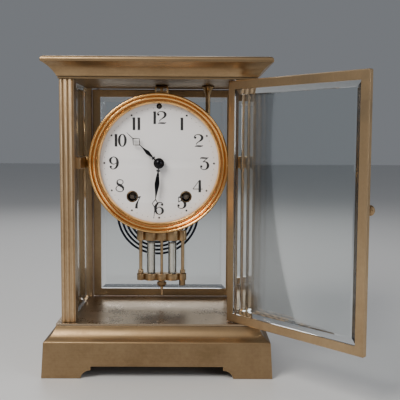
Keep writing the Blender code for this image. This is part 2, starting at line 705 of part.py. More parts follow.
def make_door(side, frame_pivot):
    """A glazed door in its hinge's frame: it reaches from the hinge along -X, and faces -Y."""
    half_thick = DOOR_THICKNESS / 2
    far = HINGE_INSET - 2 * DOOR_HALF
    name = f"{side}_door"
    frame = add_part(
        f"{name}_frame",
        box_mesh(
            f"{name}_frame",
            (far, -half_thick, DOOR_BOTTOM),
            (HINGE_INSET, half_thick, DOOR_TOP),
            DOOR_CHAMFER,
        ),
        "door_brass",
        frame_pivot,
    )
    light = box_mesh(
        f"{name}_light",
        (far + DOOR_BAR, -DOOR_THICKNESS, DOOR_BOTTOM + DOOR_BAR),
        (HINGE_INSET - DOOR_BAR, DOOR_THICKNESS, DOOR_TOP - DOOR_BAR),
    )
    boolean(frame, add_cutter(f"{name}_light", light, frame_pivot))
    glass_middle = HINGE_INSET - DOOR_HALF
    glass = add_part(
        f"{name}_glass",
        bevelled_glass(
            f"{name}_glass",
            DOOR_HALF - DOOR_BAR - GAP,
            DOOR_BOTTOM + DOOR_BAR + GAP,
            DOOR_TOP - DOOR_BAR - GAP,
            0,
        ),
        "clear_glass",
        frame_pivot,
    )
    glass.location = (glass_middle, GLASS_THICKNESS / 2, 0.0)
    for end, direction, at in (("bottom", 1, DOOR_BOTTOM), ("top", -1, DOOR_TOP)):
        inside = at + direction * HINGE_PIN_DEPTH
        outside = at - direction * (DOOR_END_PLAY + PLATE_THICKNESS - GAP)
        low, high = sorted((inside, outside))
        hole_low, hole_high = sorted((inside + direction * GAP, at - direction * 2 * MM))
        hole = cylinder_mesh(f"{name}_{end}_hole", HINGE_PIN_RADIUS + RUN, hole_low, hole_high, sides=16)
        boolean(frame, add_cutter(f"{name}_{end}_hole", hole, frame_pivot))
        pin = cylinder_mesh(f"{name}_pin_{end}", HINGE_PIN_RADIUS, low, high, sides=16)
        add_part(f"{name}_pin_{end}", pin, "steel", frame_pivot)
    knob_x = far + DOOR_BAR / 2
    hole = cylinder_mesh(
        f"{name}_knob_hole",
        KNOB_SPINDLE_RADIUS + RUN,
        -DOOR_THICKNESS,
        half_thick - 0.5 * MM,
        "Y",
        (knob_x, KNOB_HEIGHT),
        16,
    )
    boolean(frame, add_cutter(f"{name}_knob_hole", hole, frame_pivot))
    knob = turned_mesh(f"{name}_knob", knob_profile(), 20, along="Y", at=(knob_x, 0.0, KNOB_HEIGHT))
    add_part(f"{name}_knob", knob, "aged_brass", frame_pivot)


def make_doors():
    front = pivot("front_door_hinge", (HINGE_X, -HINGE_Y, 0.0), FOOT_FRAME, (0, 0, FRONT_DOOR_OPEN))
    rear = pivot("rear_door_hinge", (-HINGE_X, HINGE_Y, 0.0), FOOT_FRAME, (0, 0, 180))
    make_door("front", front)
    make_door("rear", rear)


# ---- movement ----


def dial_pivot(name, offset=(0.0, 0.0), rotation=(0, 0, 0)):
    """An empty on an arbor's axis, at an (X, Z) offset from the dial's centre."""
    return pivot(name, (offset[0], 0.0, DIAL_HEIGHT + offset[1]), FOOT_FRAME, rotation)


DIAL_FRAME = dial_pivot("dial_centre")


def bezel_profile():
    """(radius, depth) round the bezel's section, with depths measured forwards from its back."""
    lip = DIAL_OPENING_RADIUS
    rim = BEZEL_RADIUS
    return [
        (lip, 0.0),
        (lip, BEZEL_DEPTH - 6.4 * MM),
        (lip + 1.2 * MM, BEZEL_DEPTH - 4.0 * MM),
        (lip + 2.6 * MM, BEZEL_DEPTH - 3.1 * MM),
        (lip + 2.8 * MM, BEZEL_DEPTH - 4.6 * MM),
        (lip + 3.4 * MM, BEZEL_DEPTH - 4.6 * MM),
        (lip + 3.6 * MM, BEZEL_DEPTH - 2.6 * MM),
        (lip + 4.6 * MM, BEZEL_DEPTH - 1.7 * MM),
        (lip + 5.7 * MM, BEZEL_DEPTH - 2.0 * MM),
        (lip + 5.9 * MM, BEZEL_DEPTH - 3.4 * MM),
        (rim - 2.4 * MM, BEZEL_DEPTH - 3.4 * MM),
        (rim - 2.2 * MM, BEZEL_DEPTH - 1.0 * MM),
        (rim - 1.3 * MM, BEZEL_DEPTH),
        (rim - 0.5 * MM, BEZEL_DEPTH - 0.4 * MM),
        (rim, BEZEL_DEPTH - 1.8 * MM),
        (rim, 1.0 * MM),
        (rim - 1.6 * MM, 0.0),
    ]


def make_dial_and_case():
    bezel = turned_mesh("bezel", bezel_profile(), 48, True, "Y", (0.0, BEZEL_BACK, 0.0))
    add_part("bezel", bezel, "gilt_brass", DIAL_FRAME)
    time_at = WINDING_ARBOR_AT
    strike_at = (-time_at[0], time_at[1])
    holes = [
        circle(DRUM_RADIUS - DRUM_WALL - GAP, sides=48),
        circle(CENTRE_HOLE_RADIUS, sides=20),
        circle(WINDING_HOLE_RADIUS + GAP, time_at, 20),
        circle(WINDING_HOLE_RADIUS + GAP, strike_at, 20),
        circle(REGULATOR_HOLE_RADIUS, REGULATOR_AT, 16),
    ]
    dial = outline_mesh("dial", holes, DIAL_FRONT, DIAL_FRONT + DIAL_THICKNESS)
    add_part("dial", dial, "white_enamel", DIAL_FRAME)
    for label, at in (("time", time_at), ("strike", strike_at)):
        ring = [circle(WINDING_HOLE_RADIUS, at, 20), circle(WINDING_HOLE_RADIUS - 0.9 * MM, at, 20)]
        front = DIAL_FRONT - 0.3 * MM
        grommet = outline_mesh(f"{label}_grommet", ring, front, DIAL_FRONT + DIAL_THICKNESS)
        add_part(f"{label}_grommet", grommet, "gilt_brass", DIAL_FRAME)
    wall = [circle(DRUM_RADIUS, sides=48), circle(DRUM_RADIUS - DRUM_WALL, sides=48)]
    drum_mesh = outline_mesh("movement_drum", wall, DRUM_FRONT, DRUM_BACK)
    drum = add_part("movement_drum", drum_mesh, "movement_brass", DIAL_FRAME)
    ear_out = INNER_HALF + RAIL_LAP - RAIL_THICKNESS - GAP
    for side in (-1, 1):
        ends = sorted((side * (DRUM_RADIUS - DRUM_WALL / 2), side * ear_out))
        low = (ends[0], DRUM_BACK - EAR_SET_BACK - EAR_LENGTH, -RAIL_HEIGHT / 2)
        high = (ends[1], DRUM_BACK - EAR_SET_BACK, RAIL_HEIGHT / 2)
        ear = add_cutter(f"drum_ear_{side}", box_mesh("drum_ear", low, high), DIAL_FRAME)
        boolean(drum, ear, "UNION")


def make_side_rails():
    outer = INNER_HALF + RAIL_LAP
    for label, side in (("left", -1), ("right", 1)):
        ends = sorted((side * outer, side * (outer - RAIL_THICKNESS)))
        half_y = INNER_HALF_DEPTH - GAP
        low = (ends[0], -half_y, DIAL_HEIGHT - RAIL_HEIGHT / 2)
        high = (ends[1], half_y, DIAL_HEIGHT + RAIL_HEIGHT / 2)
        rail = box_mesh(f"side_rail_{label}", low, high, 0.4 * MM)
        add_part(f"side_rail_{label}", rail, "door_brass", FOOT_FRAME)


def make_movement_plates():
    """Two round plates with a hole for each arbor that passes through, and four pillars between them."""
    time_at = WINDING_ARBOR_AT
    strike_at = (-time_at[0], time_at[1])
    winding = WINDING_ARBOR_RADIUS + RUN
    shared = [
        circle(winding, time_at, 16),
        circle(winding, strike_at, 16),
        circle(ARBOR_RADIUS + RUN, REGULATOR_AT, 12),
        circle(ARBOR_RADIUS + RUN, PALLET_ARBOR_AT, 12),
    ]
    front_holes = [*shared, circle(CENTRE_ARBOR_RADIUS + RUN, sides=16)]
    back_holes = [*shared, circle(ARBOR_RADIUS + RUN, HAMMER_ARBOR_AT, 12)]
    front_radius = DRUM_RADIUS - DRUM_WALL - GAP
    front = outline_mesh(
        "front_movement_plate",
        [circle(front_radius, sides=48), *front_holes],
        FRONT_PLATE_FRONT,
        FRONT_PLATE_BACK,
    )
    back = outline_mesh(
        "back_movement_plate",
        [circle(DRUM_RADIUS, sides=48), *back_holes],
        BACK_PLATE_FRONT,
        BACK_PLATE_BACK,
    )
    add_part("front_movement_plate", front, "movement_brass", DIAL_FRAME)
    add_part("back_movement_plate", back, "movement_brass", DIAL_FRAME)
    for number, angle in enumerate((38, 142, 206, 334), 1):
        at = [PILLAR_CIRCLE * f(math.radians(angle)) for f in (math.cos, math.sin)]
        pillar = cylinder_mesh(
            f"movement_pillar_{number}",
            PILLAR_RADIUS,
            FRONT_PLATE_BACK + GAP,
            BACK_PLATE_FRONT - GAP,
            "Y",
            at,
            16,
        )
        add_part(f"movement_pillar_{number}", pillar, "movement_brass", DIAL_FRAME)


def make_barrel(label, side):
    """A spring barrel with its toothed rim, and the arbor through it that a key turns."""
    at = (side * WINDING_ARBOR_AT[0], WINDING_ARBOR_AT[1])
    frame = dial_pivot(f"{label}_barrel_axis", at)
    rim_back = BARREL_FRONT + BARREL_RIM
    hole = circle(WINDING_ARBOR_RADIUS + RUN, sides=16)
    rim_loops = [toothed(BARREL_WHEEL_RADIUS, BARREL_WHEEL_RADIUS - TOOTH_DEPTH, WHEEL_TEETH), hole]
    barrel = add_part(
        f"{label}_barrel",
        outline_mesh(f"{label}_barrel", rim_loops, BARREL_FRONT, rim_back),
        "movement_brass",
        frame,
    )
    body_loops = [circle(BARREL_RADIUS, sides=24), hole]
    body = outline_mesh("barrel_body", body_loops, rim_back - GAP, BARREL_FRONT + BARREL_LENGTH)
    boolean(barrel, add_cutter(f"{label}_barrel_body", body, frame), "UNION")
    arbor_frame = dial_pivot(f"{label}_winding_axis", at)
    arbor_mesh = cylinder_mesh(
        f"{label}_winding_arbor",
        WINDING_ARBOR_RADIUS,
        DIAL_FRONT - 2.2 * MM,
        BACK_PLATE_BACK + 1.0 * MM,
        "Y",
        sides=16,
    )
    arbor = add_part(f"{label}_winding_arbor", arbor_mesh, "steel", arbor_frame)
    half = WINDING_SQUARE / 2
    keep = box_mesh(
        "winding_square", (-half, DIAL_FRONT - 5 * MM, -half), (half, FRONT_PLATE_FRONT - 1 * MM, half)
    )
    ring = cylinder_mesh(
        "winding_square_blank", 2 * WINDING_ARBOR_RADIUS, DIAL_FRONT - 4 * MM, FRONT_PLATE_FRONT - 1 * MM, "Y"
    )
    blank = add_cutter(f"{label}_square_blank", ring, arbor_frame)
    boolean(blank, add_cutter(f"{label}_square_keep", keep, arbor_frame))
    boolean(arbor, blank)


def make_wheel(name, frame, radius, teeth, front, arbor_span, driver, arbor_radius=ARBOR_RADIUS, spokes=5):
    """A crossed-out wheel on a solid arbor, with a plain pinion beside the front of its driver's rim."""
    rim = radius - WHEEL_RIM
    hub = PINION_RADIUS + SPOKE_WIDTH / 2
    loops = [toothed(radius, radius - TOOTH_DEPTH, teeth)]
    for spoke in range(spokes):
        first = 360 * spoke / spokes
        last = first + 360 / spokes
        rim_turn = math.degrees(SPOKE_WIDTH / 2 / rim)
        hub_turn = math.degrees(SPOKE_WIDTH / 2 / hub)
        outer = ellipse_arc((0.0, 0.0), (rim, rim), first + rim_turn, last - rim_turn, 6)
        inner = ellipse_arc((0.0, 0.0), (hub, hub), last - hub_turn, first + hub_turn, 2)
        loops.append(outer + inner)
    mesh = outline_mesh(name, loops, front, front + WHEEL_THICKNESS)
    wheel = add_part(name, mesh, "movement_brass", frame)
    arbor = cylinder_mesh(name + "_arbor", arbor_radius, *arbor_span, "Y", sides=12)
    boolean(wheel, add_cutter(name + "_arbor", arbor, frame), "UNION")
    low = driver - PINION_LAP
    high = driver + WHEEL_THICKNESS + PINION_LAP
    pinion = cylinder_mesh(name + "_pinion", PINION_RADIUS, low, high, "Y", sides=18)
    boolean(wheel, add_cutter(name + "_pinion", pinion, frame), "UNION")


def make_train():
    """The going train: each wheel on its own arbor, with play left between the teeth."""
    inside = (FRONT_PLATE_BACK + GAP, BACK_PLATE_FRONT - GAP)
    second = dial_pivot("second_wheel_axis", SECOND_ARBOR_AT)
    make_wheel(
        "second_wheel", second, SECOND_WHEEL_RADIUS, WHEEL_TEETH, SECOND_WHEEL_FRONT, inside, BARREL_FRONT
    )
    third = dial_pivot("third_wheel_axis", THIRD_ARBOR_AT)
    driver = CENTRE_WHEEL_FRONT
    make_wheel(
        "third_wheel", third, THIRD_WHEEL_RADIUS, THIRD_TEETH, THIRD_WHEEL_FRONT, inside, driver, spokes=4
    )
    escape = dial_pivot("escape_wheel_axis", ESCAPE_ARBOR_AT)
    driver = THIRD_WHEEL_FRONT
    make_wheel(
        "escape_wheel",
        escape,
        ESCAPE_WHEEL_RADIUS,
        ESCAPE_TEETH,
        ESCAPE_WHEEL_FRONT,
        inside,
        driver,
        spokes=4,
    )


def make_pallets():
    """The anchor on its arbor, and the crutch behind the back plate whose fork straddles the rod."""
    frame = dial_pivot("pallet_axis", PALLET_ARBOR_AT)
    tip_u, tip_v = (ESCAPE_WHEEL_RADIUS + 3.4 * MM, 2.2 * MM - PALLET_DROP)
    half = [
        (0.0, -1.8 * MM),
        (7.4 * MM, -4.2 * MM),
        (tip_u - 1.0 * MM, tip_v),
        (tip_u + 0.8 * MM, tip_v),
        (9.2 * MM, -1.8 * MM),
        (2.2 * MM, 2.0 * MM),
        (0.0, 2.0 * MM),
    ]
    outline = half + [(-u, v) for u, v in reversed(half[1:-1])]
    front = ESCAPE_WHEEL_FRONT - GAP
    back = ESCAPE_WHEEL_FRONT + WHEEL_THICKNESS + GAP
    pallets = add_part("pallets", outline_mesh("pallets", [outline], front, back), "steel", frame)
    crutch_front = BACK_PLATE_BACK + 2 * GAP
    crutch_back = crutch_front + CRUTCH_THICKNESS
    arbor_back = crutch_back + 1.0 * MM
    arbor = cylinder_mesh("pallet_arbor", ARBOR_RADIUS, FRONT_PLATE_BACK + GAP, arbor_back, "Y", sides=12)
    boolean(pallets, add_cutter("pallet_arbor", arbor, frame), "UNION")
    half_arm = CRUTCH_WIDTH / 2
    corner = math.degrees(math.asin(half_arm / CRUTCH_HUB_RADIUS))
    hub = ellipse_arc((0.0, 0.0), (CRUTCH_HUB_RADIUS, CRUTCH_HUB_RADIUS), corner - 90, 270 - corner, 12)
    loops = [
        [(-half_arm, -CRUTCH_REACH), (half_arm, -CRUTCH_REACH), *hub],
        circle(ARBOR_RADIUS + RUN, sides=12),
    ]
    crutch = add_part("crutch", outline_mesh("crutch", loops, crutch_front, crutch_back), "steel", frame)
    slot = ROD_RADIUS + GAP
    wall = 1.2 * MM
    fork = box_mesh(
        "crutch_fork",
        (-slot - wall, crutch_front, -CRUTCH_REACH - wall),
        (slot + wall, PENDULUM_Y + ROD_RADIUS + wall / 2, -CRUTCH_REACH + wall / 2),
    )
    boolean(crutch, add_cutter("crutch_fork", fork, frame), "UNION")
    rod_way = box_mesh(
        "crutch_slot",
        (-slot, PENDULUM_Y - slot - GAP, -CRUTCH_REACH - 2 * wall),
        (slot, PENDULUM_Y + 2 * slot, -CRUTCH_REACH + 2 * wall),
    )
    boolean(crutch, add_cutter("crutch_slot", rod_way, frame))


def make_regulator_arbor():
    """The arbor above twelve that sets the rate with a small key, from the dial through both plates."""
    frame = dial_pivot("regulator_axis", REGULATOR_AT)
    front = DIAL_FRONT - 1.0 * MM
    mesh = cylinder_mesh("regulator_arbor", ARBOR_RADIUS, front, BACK_PLATE_BACK + 2.4 * MM, "Y", sides=12)
    add_part("regulator_arbor", mesh, "steel", frame)


# ---- hands ----


def hand_outline(length, leaf, leaf_at, eye, eye_at):
    """A hand pointing to +V: a round hub, a collar, a leaf on a slim stem, and a diamond near its tip."""
    stem = HAND_STEM / 2
    collar = HAND_HUB_RADIUS + 1.4 * MM
    leaf_half, leaf_reach = leaf
    eye_half, eye_reach = eye
    half = [
        (stem, collar),
        (2.4 * stem, collar + 0.8 * MM),
        (stem, collar + 1.6 * MM),
        (0.75 * leaf_half, leaf_at - 0.4 * leaf_reach),
        (leaf_half, leaf_at),
        (0.6 * leaf_half, leaf_at + 0.6 * leaf_reach),
        (0.7 * stem, leaf_at + leaf_reach),
        (0.6 * stem, eye_at - eye_reach),
        (eye_half, eye_at),
        (0.6 * stem, eye_at + eye_reach),
        (0.5 * stem, length - 2.5 * MM),
        (0.2 * stem, length),
    ]
    corner = math.degrees(math.asin(stem / HAND_HUB_RADIUS))
    hub = ellipse_arc((0.0, 0.0), (HAND_HUB_RADIUS, HAND_HUB_RADIUS), 90 + corner, 450 - corner, 18)
    return [*mirrored(half), *hub]


def diamond(centre, half_width, half_height):
    u, v = centre
    return [(u, v - half_height), (u + half_width, v), (u, v + half_height), (u - half_width, v)]


def make_hand(name, frame, length, leaf, leaf_at, eye, eye_at, front):
    """A hand: leaf and eye are each (half width, half length), placed along it from the arbor."""
    loops = [
        hand_outline(length, leaf, leaf_at, eye, eye_at),
        diamond((0.0, eye_at), eye[0] - HAND_WIRE, eye[1] - HAND_WIRE),
        circle(CENTRE_ARBOR_RADIUS + RUN, sides=16),
    ]
    return add_part(name, outline_mesh(name, loops, front, front + HAND_THICKNESS), "black_steel", frame)


def make_hands():
    hour = dial_pivot("hour_axis", rotation=(0, HOUR_HAND_AT, 0))
    minute = dial_pivot("minute_axis", rotation=(0, MINUTE_HAND_AT, 0))
    hour_front = DIAL_FRONT - HOUR_HAND_LIFT
    minute_front = DIAL_FRONT - MINUTE_HAND_LIFT
    bore = CENTRE_ARBOR_RADIUS + RUN
    hour_leaf = (1.7 * MM, 6.2 * MM)
    hour_eye = (4.1 * MM, 4.3 * MM)
    hour_hand = make_hand(
        "hour_hand", hour, HOUR_HAND_LENGTH, hour_leaf, 13.4 * MM, hour_eye, 26.9 * MM, hour_front
    )
    pipe_back = DIAL_FRONT + DIAL_THICKNESS + 1.2 * MM
    pipe_loops = [circle(HOUR_PIPE_RADIUS, sides=16), circle(bore, sides=16)]
    pipe = outline_mesh("hour_pipe", pipe_loops, hour_front + HAND_THICKNESS / 2, pipe_back)
    boolean(hour_hand, add_cutter("hour_pipe", pipe, hour), "UNION")
    minute_leaf = (2.05 * MM, 12.0 * MM)
    minute_eye = (2.9 * MM, 3.7 * MM)
    make_hand(
        "minute_hand", minute, MINUTE_HAND_LENGTH, minute_leaf, 17.8 * MM, minute_eye, 35.0 * MM, minute_front
    )
    nut_back = minute_front - GAP
    nut = [
        (bore, -nut_back),
        (bore, 1.4 * MM - nut_back),
        (2.0 * MM, 1.6 * MM - nut_back),
        (3.1 * MM, 1.0 * MM - nut_back),
        (3.3 * MM, 0.4 * MM - nut_back),
        (3.3 * MM, -nut_back),
    ]
    add_part("hand_nut", turned_mesh("hand_nut", nut, 20, True, "Y"), "black_steel", minute)
    make_wheel(
        "centre_wheel",
        minute,
        CENTRE_WHEEL_RADIUS,
        WHEEL_TEETH,
        CENTRE_WHEEL_FRONT,
        (nut_back - 1.9 * MM, BACK_PLATE_FRONT - GAP),
        SECOND_WHEEL_FRONT,
        CENTRE_ARBOR_RADIUS,
    )


# ---- suspension and pendulum ----


def make_suspension():
    """The cock under the case's top, with a slot for the spring's upper end."""
    top = TOP_PLATE_BOTTOM - GAP
    bottom = SUSPENSION_HEIGHT - COCK_LAP
    half_x = COCK_WIDTH / 2
    half_y = COCK_DEPTH / 2
    low = (-half_x, PENDULUM_Y - half_y, bottom)
    mesh = box_mesh("suspension_cock", low, (half_x, PENDULUM_Y + half_y, top), COCK_BEVEL, 2)
    cock = add_part("suspension_cock", mesh, "movement_brass", FOOT_FRAME)
    slot_x = SPRING_THICKNESS / 2 + 1.5 * GAP
    slot_y = SPRING_WIDTH / 2 + GAP
    slot = box_mesh(
        "suspension_slot",
        (-slot_x, PENDULUM_Y - slot_y, bottom - COCK_LAP),
        (slot_x, PENDULUM_Y + slot_y, SUSPENSION_HEIGHT + SPRING_GRIP + GAP),
    )
    boolean(cock, add_cutter("suspension_slot", slot, FOOT_FRAME))


def lobed_plate(name, frame, top, thickness, bore):
    """Five round bosses in a row, joined into one plate, with a hole down its middle."""
    bottom = top - thickness
    places = [
        (0.0, LOBE_RADIUS),
        (VIAL_OFFSET, LOBE_RADIUS),
        (-VIAL_OFFSET, LOBE_RADIUS),
        (SIDE_ROD_OFFSET - END_LOBE_INSET, END_LOBE_RADIUS),
        (END_LOBE_INSET - SIDE_ROD_OFFSET, END_LOBE_RADIUS),
    ]
    plate = None
    for number, (x, radius) in enumerate(places):
        inset = RUN * (number % 2)
        lobe = cylinder_mesh(f"{name}_lobe", radius, bottom + inset, top - inset, at=(x, 0.0), sides=20)
        if plate is None:
            plate = add_part(name, lobe, "aged_brass", frame)
        else:
            boolean(plate, add_cutter(f"{name}_lobe_{number}", lobe, frame), "UNION")
    hole = cylinder_mesh(f"{name}_hole", bore, bottom - 1 * MM, top + 1 * MM, sides=12)
    boolean(plate, add_cutter(f"{name}_hole", hole, frame))
    return plate


def make_pendulum():
    """The pendulum about its suspension point, hanging down -Z."""
    frame = pivot("pendulum_axis", (0.0, PENDULUM_Y, SUSPENSION_HEIGHT), FOOT_FRAME)
    rod_top = -ROD_DROP
    rod_bottom = FLOOR_HEIGHT + ROD_RISE - SUSPENSION_HEIGHT
    spring = box_mesh(
        "suspension_spring",
        (-SPRING_THICKNESS / 2, -SPRING_WIDTH / 2, rod_top + GAP),
        (SPRING_THICKNESS / 2, SPRING_WIDTH / 2, SPRING_GRIP),
    )
    add_part("suspension_spring", spring, "steel", frame)
    rod = cylinder_mesh("pendulum_rod", ROD_RADIUS, rod_bottom, rod_top, sides=12)
    add_part("pendulum_rod", rod, "door_brass", frame)
    top = FLOOR_HEIGHT + BOB_RISE - SUSPENSION_HEIGHT
    lower_top = top - BOB_TOP_THICKNESS - VIAL_HEIGHT
    bore = ROD_RADIUS + GAP
    lobed_plate("pendulum_top_plate", frame, top, BOB_TOP_THICKNESS, bore)
    bottom_plate = lobed_plate("pendulum_bottom_plate", frame, lower_top, BOB_BOTTOM_THICKNESS, bore)
    nut_low = lower_top - BOB_BOTTOM_THICKNESS - SIDE_NUT_HEIGHT
    nut_at = (SIDE_ROD_OFFSET - END_LOBE_INSET, 0.0)
    side_nut = cylinder_mesh("side_rod_nut", SIDE_NUT_RADIUS, nut_low, lower_top - 1 * MM, at=nut_at, sides=6)
    boolean(bottom_plate, add_cutter("side_rod_nut", side_nut, frame), "UNION")
    low = lower_top + GAP
    high = top - BOB_TOP_THICKNESS - GAP
    for label, side in (("left", -1), ("right", 1)):
        vial = turned_mesh(
            f"vial_{label}",
            [
                (0.0, high),
                (VIAL_RADIUS - 0.5 * MM, high),
                (VIAL_RADIUS, high - 0.5 * MM),
                (VIAL_RADIUS, low + 0.5 * MM),
                (VIAL_RADIUS - 0.5 * MM, low),
                (0.0, low),
            ],
            20,
            at=(side * VIAL_OFFSET, 0.0, 0.0),
        )
        add_part(f"vial_{label}", vial, "mercury_glass", frame)
        name = f"pendulum_side_rod_{label}"
        collar_top = low + SIDE_COLLAR_HEIGHT
        rod_profile = [
            (0.0, high),
            (SIDE_ROD_RADIUS, high),
            (SIDE_ROD_RADIUS, collar_top),
            (SIDE_COLLAR_RADIUS, collar_top - 0.8 * MM),
            (SIDE_COLLAR_RADIUS, low),
            (0.0, low),
        ]
        rod = turned_mesh(name, rod_profile, 14, at=(side * SIDE_ROD_OFFSET, 0.0, 0.0))
        add_part(name, rod, "door_brass", frame)
    nut_top = lower_top - BOB_BOTTOM_THICKNESS - GAP
    nut_frame = pivot("rating_nut_axis", (0.0, 0.0, 0.0), frame)
    nut = [
        (bore, nut_top),
        (RATING_NUT_RADIUS * 0.6, nut_top),
        (RATING_NUT_RADIUS * 0.6, nut_top - 1.2 * MM),
        (RATING_NUT_RADIUS, nut_top - 2.0 * MM),
        (RATING_NUT_RADIUS, nut_top - RATING_NUT_HEIGHT + 1.2 * MM),
        (RATING_NUT_RADIUS * 0.7, nut_top - RATING_NUT_HEIGHT),
        (bore, nut_top - RATING_NUT_HEIGHT),
    ]
    add_part("rating_nut", turned_mesh("rating_nut", nut, 20, True), "aged_brass", nut_frame)


# ---- gong and hammer ----


def make_gong():
    """A flat coil of round wire, whose outer end is held in the block of a flared post."""
    cx, cy, cz = GONG_CENTRE
    count = round(GONG_TURNS * GONG_STEPS)
    points = []
    for i in range(count + 1):
        angle = math.radians(GONG_END_ANGLE) - 2 * math.pi * i / GONG_STEPS
        radius = GONG_RADIUS - GONG_PITCH * i / GONG_STEPS
        points.append((cx + radius * math.cos(angle), cy, cz + radius * math.sin(angle)))
    post_x, post_y = GONG_POST_AT
    block_low = post_x - GONG_BLOCK_SIZE / 2
    points.insert(0, (block_low + 2.0 * MM, cy, points[0][2] + 2.0 * MM))
    add_part("gong", tube_mesh("gong", points, GONG_WIRE_RADIUS), "blued_steel", FOOT_FRAME)
    block_z = points[0][2]
    top = TOP_PLATE_BOTTOM - GAP
    profile = [(0.0, top), (GONG_POST_FLARE, top), (GONG_POST_FLARE, top - 1.0 * MM)]
    for step in range(1, 6):
        share = step / 5
        radius = GONG_POST_RADIUS + (GONG_POST_FLARE - GONG_POST_RADIUS) * (1 - share) ** 2
        profile.append((radius, top - 1.0 * MM - 10.0 * MM * share))
    profile += [(GONG_POST_RADIUS, block_z), (0.0, block_z)]
    post = add_part(
        "gong_post",
        turned_mesh("gong_post", profile, 20, at=(post_x, post_y, 0.0)),
        "aged_brass",
        FOOT_FRAME,
    )
    half = GONG_BLOCK_SIZE / 2
    block = box_mesh(
        "gong_block",
        (post_x - half, post_y - half, block_z - half),
        (post_x + half, cy + half, block_z + half),
        0.5 * MM,
    )
    boolean(post, add_cutter("gong_block", block, FOOT_FRAME), "UNION")
    end = Vector(points[0])
    before = Vector(points[1])
    beyond = end + (end - before).normalized() * GAP
    bore = tube_mesh("gong_bore", [beyond, before], GONG_WIRE_RADIUS + GAP)
    boolean(post, add_cutter("gong_bore", bore, FOOT_FRAME))


def make_hammer():
    """The hammer on its arbor through the back plate, with its head just clear of the coil's rim."""
    x, z = (HAMMER_ARBOR_AT[0], DIAL_HEIGHT + HAMMER_ARBOR_AT[1])
    frame = pivot("hammer_axis", (x, 0.0, z), FOOT_FRAME)
    arbor = add_part(
        "gong_hammer",
        cylinder_mesh(
            "gong_hammer", ARBOR_RADIUS, BACK_PLATE_FRONT - 4 * MM, GONG_CENTRE[1] + 1.0 * MM, "Y", sides=12
        ),
        "steel",
        frame,
    )
    reach = GONG_RADIUS + GONG_WIRE_RADIUS + HAMMER_HEAD_RADIUS + HAMMER_GAP
    angle = math.radians(HAMMER_ANGLE)
    head_x = GONG_CENTRE[0] + reach * math.cos(angle) - x
    head_z = GONG_CENTRE[2] + reach * math.sin(angle) - z
    y = GONG_CENTRE[1]
    arm_y = y - 1.0 * MM
    arm = tube_mesh("hammer_arm", [(0.0, arm_y, 0.0), (head_x, arm_y, head_z)], HAMMER_ARM_RADIUS)
    boolean(arbor, add_cutter("hammer_arm", arm, frame), "UNION")
    head = cylinder_mesh(
        "hammer_head", HAMMER_HEAD_RADIUS, y - 4.5 * MM, y + 3.5 * MM, "Y", (head_x, head_z), 16
    )
    boolean(arbor, add_cutter("hammer_head", head, frame), "UNION")


def build_clock():
    make_plinth()
    make_plate("base_plate", BASE_PLATE_OVERHANG, BASE_PLATE_BOTTOM)
    make_columns()
    make_plate("top_plate", TOP_PLATE_OVERHANG, TOP_PLATE_BOTTOM)
    make_cornice()
    make_side_glasses()
    make_doors()
    make_side_rails()
    make_dial_and_case()
    make_movement_plates()
    make_barrel("time", 1)
    make_barrel("strike", -1)
    make_train()
    make_pallets()
    make_regulator_arbor()
    make_hands()
    make_suspension()
    make_pendulum()
    make_gong()
    make_hammer()


build_clock()
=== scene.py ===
# %% [markdown]
# # A four-glass mantel clock
# This kind of clock is a glazed brass case on a moulded plinth, with a door in front and another
# behind. The frame loaded below holds every piece that has a real size and every joint, all in one
# set of coordinates: metres, +Z up, with the dial facing -Y. What follows adds the looks. A piece
# that moves is told which body it rides on, and a piece that stands for a plain one replaces it.

import json
import math

import bmesh
import bpy
from mathutils import Matrix, Vector


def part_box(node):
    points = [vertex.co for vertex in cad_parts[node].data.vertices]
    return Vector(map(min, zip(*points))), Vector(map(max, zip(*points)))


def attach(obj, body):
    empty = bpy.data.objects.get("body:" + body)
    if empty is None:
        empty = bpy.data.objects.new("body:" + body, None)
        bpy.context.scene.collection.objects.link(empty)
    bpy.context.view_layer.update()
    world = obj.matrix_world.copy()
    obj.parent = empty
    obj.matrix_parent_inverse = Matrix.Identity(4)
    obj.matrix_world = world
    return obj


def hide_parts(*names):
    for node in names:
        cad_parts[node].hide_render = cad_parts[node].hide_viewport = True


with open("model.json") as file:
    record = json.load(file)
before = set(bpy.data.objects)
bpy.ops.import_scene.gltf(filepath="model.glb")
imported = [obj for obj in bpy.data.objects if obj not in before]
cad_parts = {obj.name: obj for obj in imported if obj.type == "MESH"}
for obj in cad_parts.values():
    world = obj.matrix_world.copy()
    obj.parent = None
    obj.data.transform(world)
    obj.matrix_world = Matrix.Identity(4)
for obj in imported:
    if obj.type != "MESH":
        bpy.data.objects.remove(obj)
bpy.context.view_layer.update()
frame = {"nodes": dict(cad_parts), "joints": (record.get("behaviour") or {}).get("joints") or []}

# %% [markdown]
# Measures come from the frame, so that the looks can't drift from the solids. The case's middle is
# the middle of its plinth, and the dial's centre is the middle of the enamel disc.

# %% Measure the frame
MM = 0.001


def middle(node):
    low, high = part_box(node)
    return (low + high) / 2


def size(node):
    low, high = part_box(node)
    return high - low


CASE = middle("base_plinth")
CASE.z = 0.0
DIAL = middle("dial")
DIAL.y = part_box("dial")[0].y
print("case middle", [round(v, 4) for v in CASE], "dial", [round(v, 4) for v in DIAL])

# %% [markdown]
# ## Node graphs as sums
# A material is a graph of small nodes. Written out by hand it is hard to read, so one small class
# wraps a socket and lets Python's own + - * / add the Math nodes. A second class holds the graph and
# makes every other node through a single method, which serves materials and geometry alike.


